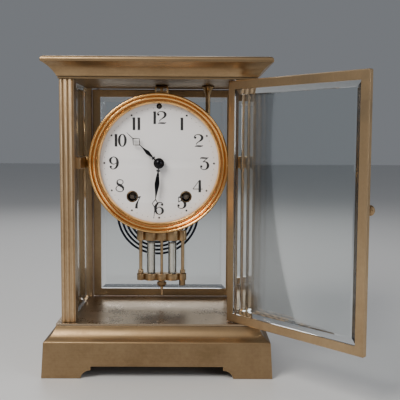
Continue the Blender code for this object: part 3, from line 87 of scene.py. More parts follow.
# %% A socket that does sums
class Value:
    """A node's output. Arithmetic on it adds Math nodes to its graph."""

    def __init__(self, graph, socket):
        self.graph = graph
        self.socket = socket

    def __add__(self, other):
        return self.graph.math("ADD", self, other)

    def __sub__(self, other):
        return self.graph.math("SUBTRACT", self, other)

    def __rsub__(self, other):
        return self.graph.math("SUBTRACT", other, self)

    def __mul__(self, other):
        return self.graph.math("MULTIPLY", self, other)

    def __truediv__(self, other):
        return self.graph.math("DIVIDE", self, other)

    def __pow__(self, other):
        return self.graph.math("POWER", self, other)

    __radd__ = __add__
    __rmul__ = __mul__


# %% A graph with one way to add a node
class Graph:
    """A node tree, whose node() takes a type, its settings, and its sockets' values or links."""

    def __init__(self, tree):
        self.tree = tree

    def put(self, socket, value):
        if isinstance(value, Value):
            self.tree.links.new(value.socket, socket)
        else:
            socket.default_value = value

    def node(self, kind, settings=None, sockets=None, output=0):
        made = self.tree.nodes.new(kind)
        for name, value in (settings or {}).items():
            if name == "stops":
                self.set_stops(made.color_ramp, value)
            else:
                setattr(made, name, value)
        for name, value in (sockets or {}).items():
            self.put(made.inputs[name], value)
        return Value(self, made.outputs[output])

    def set_stops(self, ramp, stops):
        while len(ramp.elements) < len(stops):
            ramp.elements.new(1.0)
        for element, (position, level) in zip(ramp.elements, stops):
            element.position = position
            element.color = (level, level, level, 1.0)

    def math(self, operation, *terms):
        return self.node("ShaderNodeMath", {"operation": operation}, dict(enumerate(terms)))


# %% [markdown]
# ## Finishes
# Every finish is a Principled shader. Its even qualities are numbers on its own sockets. What varies,
# such as tarnish, grain and fine dents, is built from noise laid out in Object coordinates, so it
# stays put on a piece as the piece moves.


# %% A finish
class Finish(Graph):
    """A material being made."""

    def __init__(self, name, **qualities):
        self.material = bpy.data.materials.new(name)
        self.material.use_nodes = True
        super().__init__(self.material.node_tree)
        self.shader = self.tree.nodes["Principled BSDF"]
        for quality, value in qualities.items():
            self.shader.inputs[quality.replace("_", " ")].default_value = value
        self.place = self.node("ShaderNodeTexCoord", output="Object")

    def feed(self, quality, value):
        self.put(self.shader.inputs[quality], value)

    def stretched(self, scale):
        sockets = {"Vector": self.place, "Scale": scale}
        return self.node("ShaderNodeMapping", {"vector_type": "POINT"}, sockets)

    def noise(self, scale, detail=4.0, roughness=0.55, place=None):
        sockets = {"Vector": place or self.place, "Scale": scale, "Detail": detail, "Roughness": roughness}
        return self.node("ShaderNodeTexNoise", None, sockets)

    def mask(self, value, *stops):
        return self.node("ShaderNodeValToRGB", {"stops": stops}, {"Fac": value})

    def mix(self, factor, first, second):
        sockets = {0: factor, 6: first, 7: second}
        return self.node("ShaderNodeMix", {"data_type": "RGBA"}, sockets, output=2)

    def bump(self, height, strength, distance):
        sockets = {"Height": height, "Strength": strength, "Distance": distance}
        return self.node("ShaderNodeBump", None, sockets)


# %% [markdown]
# Old brass isn't one colour. It darkens in cloudy patches, keeps a few paler rubbed spots, and has
# fine lines along the way it was finished. `grain` gives the noise's scale along X, Y and Z: a small
# number stretches the lines out that way. `lined` is how strong the lines are, and `dents` how wavy
# the surface is.


# %% Aged brass
def brass(name, bright, dark, roughness, grain, tarnish=0.55, patch=26.0, lined=0.22, dents=0.0):
    finish = Finish(name, Metallic=1.0)
    clouds = finish.noise(patch, 5.0, 0.62)
    specks = finish.noise(patch * 14, 3.0, 0.6)
    lines = finish.noise(1.0, 2.0, 0.5, finish.stretched(grain))
    stain = finish.mask(clouds * 0.75 + specks * 0.25, (0.36, 0.0), (0.66, 1.0))
    base = finish.mix(stain * tarnish, bright, dark)
    finish.feed("Base Color", finish.mix(lines * lined, base, tuple(0.55 * c for c in dark[:3]) + (1.0,)))
    finish.feed("Roughness", stain * 0.14 + specks * 0.08 + roughness)
    height = lines * (2.7 * lined) + specks * 0.4 + clouds * dents
    finish.feed("Normal", finish.bump(height, 0.16, 0.00012))
    return finish.material


UPRIGHT = (1300.0, 1300.0, 26.0)
ALONG_X = (26.0, 1300.0, 1300.0)
TURNED = (700.0, 60.0, 700.0)
case_brass = brass("case_brass", (0.42, 0.285, 0.155, 1), (0.18, 0.11, 0.052, 1), 0.28, ALONG_X)
column_brass = brass("column_brass", (0.62, 0.44, 0.26, 1), (0.27, 0.17, 0.085, 1), 0.26, UPRIGHT)
door_brass = brass("door_brass", (0.60, 0.42, 0.24, 1), (0.31, 0.20, 0.10, 1), 0.26, UPRIGHT, 0.45)
fitting_brass = brass("fitting_brass", (0.52, 0.36, 0.20, 1), (0.23, 0.14, 0.068, 1), 0.26, TURNED, 0.6, 60.0)
# Painted shade: a dark brass for the grommets, so that the winding holes read dark.
grommet_brass = brass("grommet_brass", (0.20, 0.14, 0.08, 1), (0.09, 0.06, 0.03, 1), 0.3, TURNED, 0.6, 60.0)
floor_colours = ((0.46, 0.35, 0.24, 1), (0.26, 0.18, 0.11, 1))
floor_brass = brass("floor_brass", *floor_colours, 0.2, ALONG_X, 0.5, 34.0, lined=0.1, dents=3.0)
gilt = brass("gilt_brass", (0.92, 0.54, 0.20, 1), (0.74, 0.38, 0.12, 1), 0.1, TURNED, 0.3, 40.0, lined=0.04)
movement_brass = brass("movement_brass", (0.80, 0.54, 0.26, 1), (0.50, 0.32, 0.14, 1), 0.22, ALONG_X, 0.3)

# %% [markdown]
# The steel parts are polished, the hands are blackened and the gong is blued. The arbors down in the
# dial's holes take a darker steel, which is painted shade. One function serves them all: a metal with a faint
# grain and a little unevenness in its shine.


# %% Steels
def steel(name, colour, roughness, patch):
    finish = Finish(name, Metallic=1.0)
    clouds = finish.noise(patch, 4.0)
    grain = finish.noise(1.0, 2.0, 0.5, finish.stretched((900.0, 900.0, 60.0)))
    worn = tuple(min(1.0, 1.5 * c + 0.01) for c in colour[:3]) + (1.0,)
    finish.feed("Base Color", finish.mix(finish.mask(clouds, (0.5, 0.0), (0.75, 1.0)), colour, worn))
    finish.feed("Roughness", clouds * 0.16 + roughness)
    finish.feed("Normal", finish.bump(grain, 0.08, 0.00008))
    return finish.material


bright_steel = steel("bright_steel", (0.56, 0.55, 0.53, 1), 0.2, 90.0)
blackened = steel("blackened_steel", (0.02, 0.02, 0.023, 1), 0.2, 120.0)
blued = steel("blued_steel", (0.022, 0.027, 0.045, 1), 0.24, 80.0)
# Painted shade: a darkened steel for the arbors that sit in the dial's holes, so that the holes read dark.
shaded_arbor = steel("oiled_steel", (0.20, 0.165, 0.13, 1), 0.2, 90.0)

# %% [markdown]
# Enamel is glass fired on metal: white, glossy, and never quite flat. Its numerals are a duller black
# paint.

# %% Enamel and paint
enamel_finish = Finish("white_enamel", IOR=1.52, Coat_Weight=0.6, Coat_Roughness=0.06)
waves = enamel_finish.noise(45.0, 3.0)
pits = enamel_finish.noise(900.0, 2.0)
cream = enamel_finish.mix(waves, (0.85, 0.835, 0.83, 1), (0.91, 0.895, 0.89, 1))
pitted = enamel_finish.mask(pits, (0.68, 0.0), (0.8, 0.35))
enamel_finish.feed("Base Color", enamel_finish.mix(pitted, cream, (0.5, 0.46, 0.42, 1)))
enamel_finish.feed("Roughness", waves * 0.08 + 0.16)
enamel_finish.feed("Normal", enamel_finish.bump(waves, 0.12, 0.0004))
enamel = enamel_finish.material

paint_finish = Finish("dial_paint", Coat_Weight=0.05, Coat_Roughness=0.2)
thickness = paint_finish.noise(500.0, 3.0)
blacks = ((0.004, 0.004, 0.005, 1), (0.014, 0.013, 0.014, 1))
paint_finish.feed("Base Color", paint_finish.mix(thickness, *blacks))
paint_finish.feed("Roughness", thickness * 0.2 + 0.45)
paint = paint_finish.material

# %% [markdown]
# A flat pane hardly bends light, so it is shown as a clear sheet that mirrors a little, more at a
# slant. That lets light into the case, which a solid block of glass would not. The ground bevel round
# a pane does bend light, so that band alone is real, refracting glass.


# %% Glass
def pane_glass():
    finish = Finish("pane_glass", Roughness=0.02, Metallic=0.0, IOR=1.5)
    smears = finish.noise(16.0, 3.0)
    finish.feed("Base Color", finish.mix(smears, (0.86, 0.89, 0.90, 1), (0.95, 0.96, 0.96, 1)))
    finish.feed("Roughness", smears * 0.03 + 0.01)
    clear = finish.node("ShaderNodeBsdfTransparent", None, {"Color": (0.93, 0.95, 0.95, 1)})
    slant = finish.node("ShaderNodeFresnel", None, {"IOR": 1.5})
    mirror = finish.node("ShaderNodeBsdfGlossy", None, {"Color": (1, 1, 1, 1), "Roughness": 0.02})
    haze = finish.mask(smears, (0.35, 0.006), (0.8, 0.022))
    both = finish.node("ShaderNodeMixShader", None, {0: slant * 0.85 + haze, 1: clear, 2: mirror})
    finish.put(finish.tree.nodes["Material Output"].inputs["Surface"], both)
    return finish.material


pane = pane_glass()
bevel_finish = Finish("ground_bevel", Roughness=0.03, IOR=1.5, Transmission_Weight=1.0)
grind = bevel_finish.noise(260.0, 2.0)
bevel_finish.feed("Base Color", bevel_finish.mix(grind, (0.90, 0.93, 0.93, 1), (0.98, 0.99, 0.99, 1)))
bevel_finish.feed("Normal", bevel_finish.bump(grind, 0.03, 0.0002))
bevel_glass = bevel_finish.material

silver_finish = Finish("quicksilver", Metallic=1.0)
bloom = silver_finish.noise(70.0, 4.0)
silver_finish.feed("Base Color", silver_finish.mix(bloom, (0.62, 0.55, 0.46, 1), (0.80, 0.75, 0.68, 1)))
silver_finish.feed("Roughness", bloom * 0.12 + 0.08)
quicksilver = silver_finish.material

# %% [markdown]
# ## Shapes
# The frame's curved solids are faceted, because they also serve the physics. Two ways finish them.
# Where a solid's own facets are close enough, a copy is welded, its flat areas are joined, and its
# edges are rounded a little so that they catch light. Where they aren't, the piece is made afresh.


# %% Put a piece in the scene
def add_piece(name, mesh, body, materials, replaced=()):
    """A finished mesh as a piece that rides on a body and stands for some of the frame's nodes."""
    piece = bpy.data.objects.new(name, mesh)
    bpy.context.scene.collection.objects.link(piece)
    mesh.materials.clear()
    for material in materials if isinstance(materials, list) else [materials]:
        mesh.materials.append(material)
    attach(piece, body)
    if replaced:
        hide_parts(*replaced)
    return piece


def finished(work, name, smooth_angle=35):
    """Closes a bmesh into a mesh: welded, facing outwards, smooth but for its sharp edges."""
    bmesh.ops.remove_doubles(work, verts=work.verts, dist=1e-6)
    bmesh.ops.recalc_face_normals(work, faces=work.faces)
    if work.calc_volume(signed=True) < 0:
        bmesh.ops.reverse_faces(work, faces=work.faces)
    mesh = bpy.data.meshes.new(name)
    work.to_mesh(mesh)
    work.free()
    mesh.shade_smooth()
    mesh.set_sharp_from_angle(angle=math.radians(smooth_angle))
    return mesh


def baked(obj):
    """The mesh that an object's modifiers make, with the object itself removed."""
    graph = bpy.context.evaluated_depsgraph_get()
    mesh = bpy.data.meshes.new_from_object(obj.evaluated_get(graph))
    bpy.data.objects.remove(obj)
    return mesh


def eased(mesh, width):
    """A mesh with its sharp edges rounded to a small width."""
    obj = bpy.data.objects.new(mesh.name, mesh)
    bpy.context.scene.collection.objects.link(obj)
    bevel = obj.modifiers.new("ease", "BEVEL")
    bevel.width = width
    bevel.segments = 2
    bevel.limit_method = "ANGLE"
    bevel.angle_limit = math.radians(32)
    bevel.harden_normals = True
    bevel.use_clamp_overlap = True
    return baked(obj)


# %% Finish a copy of a node
def refined(node, body, material, ease):
    """A welded, eased copy of a node that stands in its place."""
    work = bmesh.new()
    work.from_mesh(frame["nodes"][node].data)
    bmesh.ops.remove_doubles(work, verts=work.verts, dist=2e-6)
    flat = math.radians(1.0)
    bmesh.ops.dissolve_limit(work, angle_limit=flat, verts=work.verts, edges=work.edges)
    mesh = finished(work, node + "_finished")
    if ease:
        mesh = eased(mesh, ease)
    return add_piece(node + "_finished", mesh, body, material, [node])


# %% Turned pieces and outlines
def turned(name, profile, steps, along="Z", at=(0, 0, 0)):
    """A closed (radius, height) profile in metres, round Z, or round Y with its heights to the front."""
    work = bmesh.new()
    rings = []
    for step in range(steps):
        turn = 2 * math.pi * step / steps
        rings.append([work.verts.new((r * math.cos(turn), r * math.sin(turn), h)) for r, h in profile])
    for ring, after in zip(rings, rings[1:] + rings[:1]):
        for i in range(len(profile)):
            j = (i + 1) % len(profile)
            corners = [ring[i], ring[j], after[j], after[i]]
            if profile[i][0] < 1e-9 and profile[j][0] < 1e-9:
                continue
            work.faces.new(corners)
    place = Matrix.Translation(at)
    if along == "Y":
        place = place @ Matrix.Rotation(math.pi / 2, 4, "X")
    work.transform(place)
    bmesh.ops.remove_doubles(work, verts=work.verts, dist=1e-7)
    bmesh.ops.dissolve_degenerate(work, edges=work.edges, dist=1e-8)
    return finished(work, name)


def lathe(name, section, steps=64, at=(0, 0, 0), along="Y"):
    """A section in millimetres, turned."""
    return turned(name, [(r * MM, h * MM) for r, h in section], steps, along, at)


def arc(centre, radii, first, last, steps):
    """Points on an ellipse between two angles in degrees."""
    angles = [math.radians(first + (last - first) * i / steps) for i in range(steps + 1)]
    return [(centre[0] + radii[0] * math.cos(a), centre[1] + radii[1] * math.sin(a)) for a in angles]


def joined(name, meshes):
    """Several closed meshes as one, each keeping its own faces."""
    work = bmesh.new()
    for mesh in meshes:
        work.from_mesh(mesh)
    return finished(work, name)


# %% [markdown]
# ## The brass case
# The plinth, plates, columns, cornice and rails are castings and bars whose solids are already right.
# They only need their arrises eased. The cove of a moulding turns smooth once its welded facets are
# shaded together.

# %% Case
CASE_NODES = {
    "base_plinth": (case_brass, 0.35),
    "base_plate": (floor_brass, 0.25),
    "top_plate": (case_brass, 0.25),
    "cornice": (case_brass, 0.3),
}
for corner in ("front_left", "front_right", "rear_right", "rear_left"):
    CASE_NODES["column_" + corner] = (column_brass, 0.1)
for node, (material, ease) in CASE_NODES.items():
    refined(node, "case", material, ease * MM)
for node in ("side_rail_left", "side_rail_right"):
    refined(node, "case", door_brass, 0.2 * MM)
print("case pieces:", len(CASE_NODES) + 2)

# %% [markdown]
# ## Flat outlines
# Hands, plates and the dial are cut from sheet. A flat curve filled between its loops gives the
# outline and its holes at once, a thickness, and a rounded arris. It is made a mesh first and only
# then stood up, because a curve loses its place otherwise.


# %% Outlines with thickness
STAND_UP = Matrix.Rotation(math.pi / 2, 4, "X")


def outlined(name, loops, thickness, place, ease):
    """Loops in a plane, given a thickness to both sides of it and an eased edge, then placed."""
    curve = bpy.data.curves.new(name, "CURVE")
    curve.dimensions = "2D"
    curve.fill_mode = "BOTH"
    curve.extrude = thickness / 2 - ease
    curve.bevel_depth = ease
    curve.bevel_resolution = 2
    curve.offset = -ease
    for loop in loops:
        spline = curve.splines.new("POLY")
        spline.points.add(len(loop) - 1)
        for point, (u, v) in zip(spline.points, loop):
            point.co = (u, v, 0.0, 1.0)
        spline.use_cyclic_u = True
    obj = bpy.data.objects.new(name, curve)
    bpy.context.scene.collection.objects.link(obj)
    bpy.context.view_layer.update()
    flat = baked(obj)
    work = bmesh.new()
    work.from_mesh(flat)
    work.transform(place)
    return finished(work, name)


def ring(radius, centre=(0.0, 0.0), steps=96):
    return arc(centre, (radius, radius), 0, 360 - 360 / steps, steps - 1)


def smooth_line(points, steps=6):
    """Points with any number of values each, filled in along a curve that passes through them all."""
    ends = [points[0], *points, points[-1]]
    line = []
    for before, first, last, after in zip(ends, ends[1:], ends[2:], ends[3:]):
        for step in range(steps):
            t = step / steps
            weights = (
                0.5 * (-t + 2 * t**2 - t**3),
                0.5 * (2 - 5 * t**2 + 3 * t**3),
                0.5 * (t + 4 * t**2 - 3 * t**3),
                0.5 * (t**3 - t**2),
            )
            around = (before, first, last, after)
            line.append(tuple(sum(w * p[i] for w, p in zip(weights, around)) for i in range(len(first))))
    return [*line, tuple(points[-1])]


# %% [markdown]
# ## Bezel
# The bezel is turned brass, gilded and rubbed bright. Its section has an inner band that leans to the
# dial and two round beads outside it. A deep groove after each of the first two reads as a dark line.

# %% Bezel
BEZEL_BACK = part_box("bezel")[1].y
bezel_section = [
    (51.5, 0.0), (51.5, 2.6), (51.65, 3.4), (52.2, 4.6), (52.9, 5.6), (53.6, 6.3), (53.85, 6.3),
    (54.0, 6.1), (54.1, 4.9), (54.3, 4.7), (54.7, 4.7), (54.85, 4.9), (54.9, 6.4),
    *arc((56.05, 6.5), (1.15, 1.4), 175, 5, 14),
    (57.2, 6.4), (57.25, 5.9), (57.4, 5.7), (57.7, 5.7), (57.85, 5.9), (57.9, 8.0),
    *arc((59.05, 8.1), (1.15, 1.5), 175, 0, 16),
    (60.2, 1.0), (59.6, 0.3), (58.6, 0.0),
]
bezel_mesh = lathe("bezel_ring", bezel_section, 192, (DIAL.x, BEZEL_BACK, DIAL.z))
add_piece("bezel_ring", bezel_mesh, "case", gilt, ["bezel"])
print("bezel diameter mm", round(size("bezel").x * 1000, 1))

# %% [markdown]
# ## Dial
# The dial is an enamelled disc with a hole for each arbor. Two winding holes have thin brass
# grommets, and a small one above twelve takes the regulating key. Behind each hole sits a blackened
# cup. It is painted shade: it makes the hole read dark instead of showing the movement.

# %% Dial disc and grommets
WINDING_AT = (23.4 * MM, -29.2 * MM)
REGULATOR_AT = (0.0, 49.2 * MM)
DIAL_THICKNESS = size("dial").y
winding_spots = [(side * WINDING_AT[0], WINDING_AT[1]) for side in (-1, 1)]


def facing(depth, turn=0.0):
    """Places a flat outline upright at a depth behind the dial's face, turned clockwise about its centre."""
    clockwise = Matrix.Rotation(math.radians(turn), 4, "Y")
    return Matrix.Translation((DIAL.x, DIAL.y + depth, DIAL.z)) @ clockwise @ STAND_UP


DIAL_RADIUS = 56.0 * MM
CENTRE_HOLE = 3.4 * MM
REGULATOR_HOLE = 2.4 * MM
WINDING_HOLE = 5.1 * MM
dial_holes = [ring(DIAL_RADIUS, steps=160), ring(CENTRE_HOLE, steps=40)]
dial_holes.append(ring(REGULATOR_HOLE, REGULATOR_AT, 40))
dial_holes += [ring(WINDING_HOLE, spot, 48) for spot in winding_spots]
dial_mesh = outlined("dial_disc", dial_holes, DIAL_THICKNESS, facing(DIAL_THICKNESS / 2), 0.2 * MM)
add_piece("dial_disc", dial_mesh, "case", enamel, ["dial"])

DIAL_BACK = DIAL.y + DIAL_THICKNESS
GROMMET = [(3.9, 0.0), (3.9, 1.2), (4.0, 1.42), (4.25, 1.5), (4.5, 1.45), (4.75, 1.2), (4.8, 0.0)]
# The grommets take the dark brass that paints the shade in the winding holes.
for name, (u, v) in zip(("strike", "time"), winding_spots):
    mesh = lathe(name + "_grommet_ring", GROMMET, at=(DIAL.x + u, DIAL_BACK, DIAL.z + v))
    add_piece(name + "_grommet_ring", mesh, "case", grommet_brass, [name + "_grommet"])

# Painted shade: a blackened cup behind each hole, so that the hole reads dark.
SHADE_CUPS = {
    "strike_liner": (winding_spots[0], 5.0, 2.6),
    "time_liner": (winding_spots[1], 5.0, 2.6),
    "regulator_liner": (REGULATOR_AT, 2.5, 1.2),
}
for name, ((u, v), wide, bore) in SHADE_CUPS.items():
    outside = wide + 0.3
    section = [(bore, -3.9), (outside, -3.9), (outside, -0.1), (wide, -0.1), (wide, -3.6), (bore, -3.6)]
    mesh = lathe(name, section, 48, (DIAL.x + u, DIAL_BACK, DIAL.z + v))
    add_piece(name, mesh, "case", blackened)

# %% [markdown]
# The numerals are painted with a broad pen: thick down-strokes, hairlines across, and a round
# terminal where a stroke ends. So each digit is a few pen strokes. A stroke is a line of points, each
# with the pen's half width there, and the digits are drawn in a box a hundred units high. The pen
# itself is then a little broader than the table says.

# %% The pen strokes of each digit
PEN = 1.22
THICK = 8.4
HAIR = 2.4
DIGITS = {
    "1": [
        [(0, 0, THICK), (0, 50, THICK), (0, 99, THICK)],
        [(-13, 90, 1.2), (-7, 93, 3), (0, 95.5, 4)],
    ],
    "2": [
        [(-33, 72, HAIR), (-31, 86, HAIR), (-17, 96.5, 2.4), (2, 97.8, 3), (21, 90, 6.2),
         (29, 74, 8.5), (22, 57, 6.2), (2, 42, 3), (-13, 30, HAIR), (-17, 20, HAIR)],
        [(-28, 3.5, 1.5), (-19, 7.5, 3.4), (-2, 8.2, 5), (16, 7.5, 5), (29, 9, 3), (35, 14, 1.4)],
    ],
    "3": [
        [(-31, 86, 2), (-27, 93, 4), (-12, 93.5, 5.2), (10, 92.5, 4.4), (24, 94, 3), (32, 99, 1.5)],
        [(31, 98, 1.5), (10, 80, HAIR), (-12, 62, HAIR)],
        [(-12, 61, HAIR), (4, 63.5, 2.6), (20, 56, 6), (28, 38, 8.5), (24, 17, 7.2), (8, 3.5, 3),
         (-10, 2.5, HAIR), (-26, 10, HAIR), (-31, 24, HAIR)],
    ],
    "4": [
        [(10, 99, 1.5), (-14, 64, 2), (-42, 27, 2)],
        [(-43, 26, 2.2), (0, 26, 2.2), (34, 26, 2.2)],
        [(12, 0, THICK), (12, 50, THICK), (12, 97, 7)],
    ],
    "5": [
        [(-24, 93, 3.4), (-4, 91, 5.8), (16, 93, 4.4), (29, 100, 1.8)],
        [(-24, 95, HAIR), (-25, 70, HAIR), (-25, 52, HAIR)],
        [(-25, 52, HAIR), (-10, 62, 3), (10, 60, 5.5), (26, 42, 8.5), (25, 20, 7.8), (8, 4, 3.2),
         (-10, 2.5, HAIR), (-26, 10, HAIR), (-31, 24, HAIR)],
    ],
    "6": [
        [(30, 80, HAIR), (22, 93, HAIR), (4, 97.5, 2.6), (-15, 88, 5.5), (-27, 66, 8.2),
         (-29, 40, 8.5), (-22, 16, 6), (-4, 2.5, 2.6), (13, 5, 3.5), (27, 20, 7.4), (27, 40, 7.4),
         (13, 56, 3.5), (-4, 58, HAIR), (-19, 48, HAIR)],
    ],
    "7": [
        [(-33, 78, 2), (-27, 90, 4.5), (-8, 92.5, 6.6), (14, 90, 5.2), (33, 97, 2)],
        [(32, 97, 2), (14, 66, 3), (1, 32, 7), (-2, 0, 9)],
    ],
    "8": [
        [(-23, 80, 5), (-18, 64, 7), (0, 53, 8.5), (18, 42, 8), (27, 26, 6)],
        [(27, 26, 6), (21, 9, 2.8), (0, 2, HAIR), (-24, 10, 2.6), (-32, 26, 3), (-24, 43, HAIR),
         (-4, 53, HAIR), (16, 63, HAIR), (25, 78, HAIR), (17, 93, HAIR), (-2, 98, HAIR),
         (-18, 92, 2.8), (-23, 80, 5)],
    ],
}
BALLS = {"2": (-26, 74), "3": (-25, 26), "5": (-25, 26), "6": (24, 80)}
BALL_RADIUS = 8.5
ADVANCE = {"1": 0.39, "0": 0.60}
WIDE = 0.70


# %% Turn strokes into raised paint
def swelling_ring(centre, radii, thick):
    """A closed stroke that is thick at its sides and fine at its top and bottom."""
    points = []
    for turn in (2 * math.pi * step / 48 for step in range(48)):
        half = HAIR + (thick - HAIR) * abs(math.cos(turn)) ** 1.6
        points.append((centre[0] + radii[0] * math.cos(turn), centre[1] + radii[1] * math.sin(turn), half))
    return points


def sides_of(line, closed):
    """The left and right edges of a stroke, square to its direction at each point."""
    left, right = [], []
    count = len(line)
    for i, (x, y, half) in enumerate(line):
        half *= PEN
        before = line[i - 1] if closed or i else line[0]
        after = line[(i + 1) % count] if closed or i < count - 1 else line[-1]
        along = Vector((after[0] - before[0], after[1] - before[1])).normalized()
        left.append((x - along.y * half, y + along.x * half))
        right.append((x + along.y * half, y - along.x * half))
    return left, right


def lay_stroke(work, line, closed, height, place):
    """One stroke as a closed ribbon of paint of a given height, in the digit's own plane."""
    left, right = sides_of(line, closed)
    rails = [
        [work.verts.new(place @ Vector((u, v, level))) for u, v in edge]
        for edge, level in ((left, height), (right, height), (right, 0.0), (left, 0.0))
    ]
    count = len(line)
    for i in range(count if closed else count - 1):
        j = (i + 1) % count
        for rail, beside in zip(rails, rails[1:] + rails[:1]):
            work.faces.new((rail[i], rail[j], beside[j], beside[i]))
    if not closed:
        work.faces.new([rail[0] for rail in rails])
        work.faces.new([rail[-1] for rail in reversed(rails)])


def lay_digit(work, digit, place):
    unit = place.to_scale().x
    if digit == "9":
        place = place @ Matrix.Translation((0, 100, 0)) @ Matrix.Rotation(math.pi, 4, "Z")
        digit = "6"
    strokes = [(smooth_line(line), False) for line in DIGITS.get(digit, [])]
    if digit == "0":
        strokes.append((swelling_ring((0, 50), (25, 47.5), THICK), True))
    if digit in BALLS:
        x, y = BALLS[digit]
        half = 0.5 * BALL_RADIUS
        disc = [(x + half * c, y + half * s, half) for c, s in ring(1.0, steps=18)]
        strokes.append((disc, True))
    for layer, (line, closed) in enumerate(strokes):
        lay_stroke(work, line, closed, (PAINT + layer * PAINT_STEP) / unit, place)


# %% Numerals
PAINT = 0.08 * MM
PAINT_STEP = 0.01 * MM
NUMERAL_CIRCLE = 39.4 * MM
NUMERAL_HEIGHT = 11.0 * MM
numerals_work = bmesh.new()
for hour in range(1, 13):
    digits = str(hour)
    widths = [ADVANCE.get(digit, WIDE) for digit in digits]
    turn = math.radians(30 * hour)
    u = NUMERAL_CIRCLE * math.sin(turn) - sum(widths) * NUMERAL_HEIGHT / 2
    v = NUMERAL_CIRCLE * math.cos(turn) - NUMERAL_HEIGHT / 2
    for digit, width in zip(digits, widths):
        u += width * NUMERAL_HEIGHT / 2
        here = facing(-0.02 * MM) @ Matrix.Translation((u, v, 0)) @ Matrix.Scale(NUMERAL_HEIGHT / 100, 4)
        lay_digit(numerals_work, digit, here)
        u += width * NUMERAL_HEIGHT / 2
bmesh.ops.recalc_face_normals(numerals_work, faces=numerals_work.faces)
numerals_mesh = bpy.data.meshes.new("numerals")
numerals_work.to_mesh(numerals_mesh)
numerals_work.free()
add_piece("numerals", numerals_mesh, "case", paint)
print("numeral triangles", sum(len(p.vertices) - 2 for p in numerals_mesh.polygons))

# %% [markdown]
# ## Things that repeat
# Geometry Nodes suit what repeats: dots round a dial, ridges round a nut, screws in a plate. Each tree
# below is made in the script with named inputs, and `grown` sets them, bakes the result into a plain
# mesh and lets the tree go.


# %% Trees with named inputs
SOCKETS = {"geometry": "NodeSocketGeometry", "number": "NodeSocketFloat", "count": "NodeSocketInt",
           "material": "NodeSocketMaterial", "object": "NodeSocketObject"}


class Tree(Graph):
    """A Geometry Nodes tree. Its inputs are given as name=kind, and reach its nodes through given()."""

    def __init__(self, name, **inputs):
        super().__init__(bpy.data.node_groups.new(name, "GeometryNodeTree"))
        self.tree.interface.new_socket("Geometry", in_out="OUTPUT", socket_type=SOCKETS["geometry"])
        self.inputs = {"Geometry": "geometry", **inputs}
        for title, kind in self.inputs.items():
            self.tree.interface.new_socket(title, in_out="INPUT", socket_type=SOCKETS[kind])
        self.entry = self.tree.nodes.new("NodeGroupInput")

    def given(self, title):
        return Value(self, self.entry.outputs[title])

    def close(self, shape):
        """Ends the tree: real geometry with its finish on."""
        real = self.node("GeometryNodeRealizeInstances", None, {"Geometry": shape})
        sockets = {"Geometry": real, "Material": self.given("Finish")}
        done = self.node("GeometryNodeSetMaterial", None, sockets)
        self.tree.links.new(done.socket, self.tree.nodes.new("NodeGroupOutput").inputs[0])
        return self


def grown(tree, base, place, **values):
    """What a tree makes of a base mesh and its named inputs, as a plain mesh put in its place."""
    obj = bpy.data.objects.new(base.name, base)
    bpy.context.scene.collection.objects.link(obj)
    modifier = obj.modifiers.new("grow", "NODES")
    modifier.node_group = tree.tree
    for item in tree.tree.interface.items_tree:
        if item.in_out == "INPUT" and item.name in values:
            modifier[item.identifier] = values[item.name]
    work = bmesh.new()
    work.from_mesh(baked(obj))
    work.transform(place)
    return finished(work, base.name)


def points_mesh(name, points, edges=()):
    mesh = bpy.data.meshes.new(name)
    mesh.from_pydata([tuple(point) for point in points], edges, [])
    return mesh


# %% A tree for pegs that stand on points
def standing_pegs():
    """A short round peg on each point of the base."""
    tree = Tree("pegs", Radius="number", Height="number", Sides="count", Finish="material")
    sizes = {"Vertices": tree.given("Sides"), "Radius": tree.given("Radius"), "Depth": tree.given("Height")}
    peg = tree.node("GeometryNodeMeshCylinder", None, sizes)
    sockets = {"Points": tree.given("Geometry"), "Instance": peg}
    return tree.close(tree.node("GeometryNodeInstanceOnPoints", None, sockets))


pegs = standing_pegs()

# %% Minute and hour dots
DOT_CIRCLE = 47.7 * MM


def dots(name, turns, radius):
    spots = [(DOT_CIRCLE * math.sin(t), DOT_CIRCLE * math.cos(t), 0.0) for t in map(math.radians, turns)]
    place = facing(-0.03 * MM)
    values = {"Radius": radius, "Height": 0.09 * MM, "Sides": 18, "Finish": paint}
    mesh = grown(pegs, points_mesh(name, spots), place, **values)
    add_piece(name, mesh, "case", paint)


dots("hour_dots", range(0, 360, 30), 0.85 * MM)
dots("minute_dots", [turn for turn in range(0, 360, 6) if turn % 30], 0.28 * MM)

# %% [markdown]
# ## Hands
# The hands are pierced steel, blackened: a round hub, a little collar, a slim leaf and an open
# diamond before a fine tip. A hand is drawn pointing to twelve and then turned to its hour.

# %% Hands
HUB = 4.6 * MM
STEM = 0.5 * MM
WIRE = 0.5 * MM
HOUR_TURN = 313.4
MINUTE_TURN = 185.2


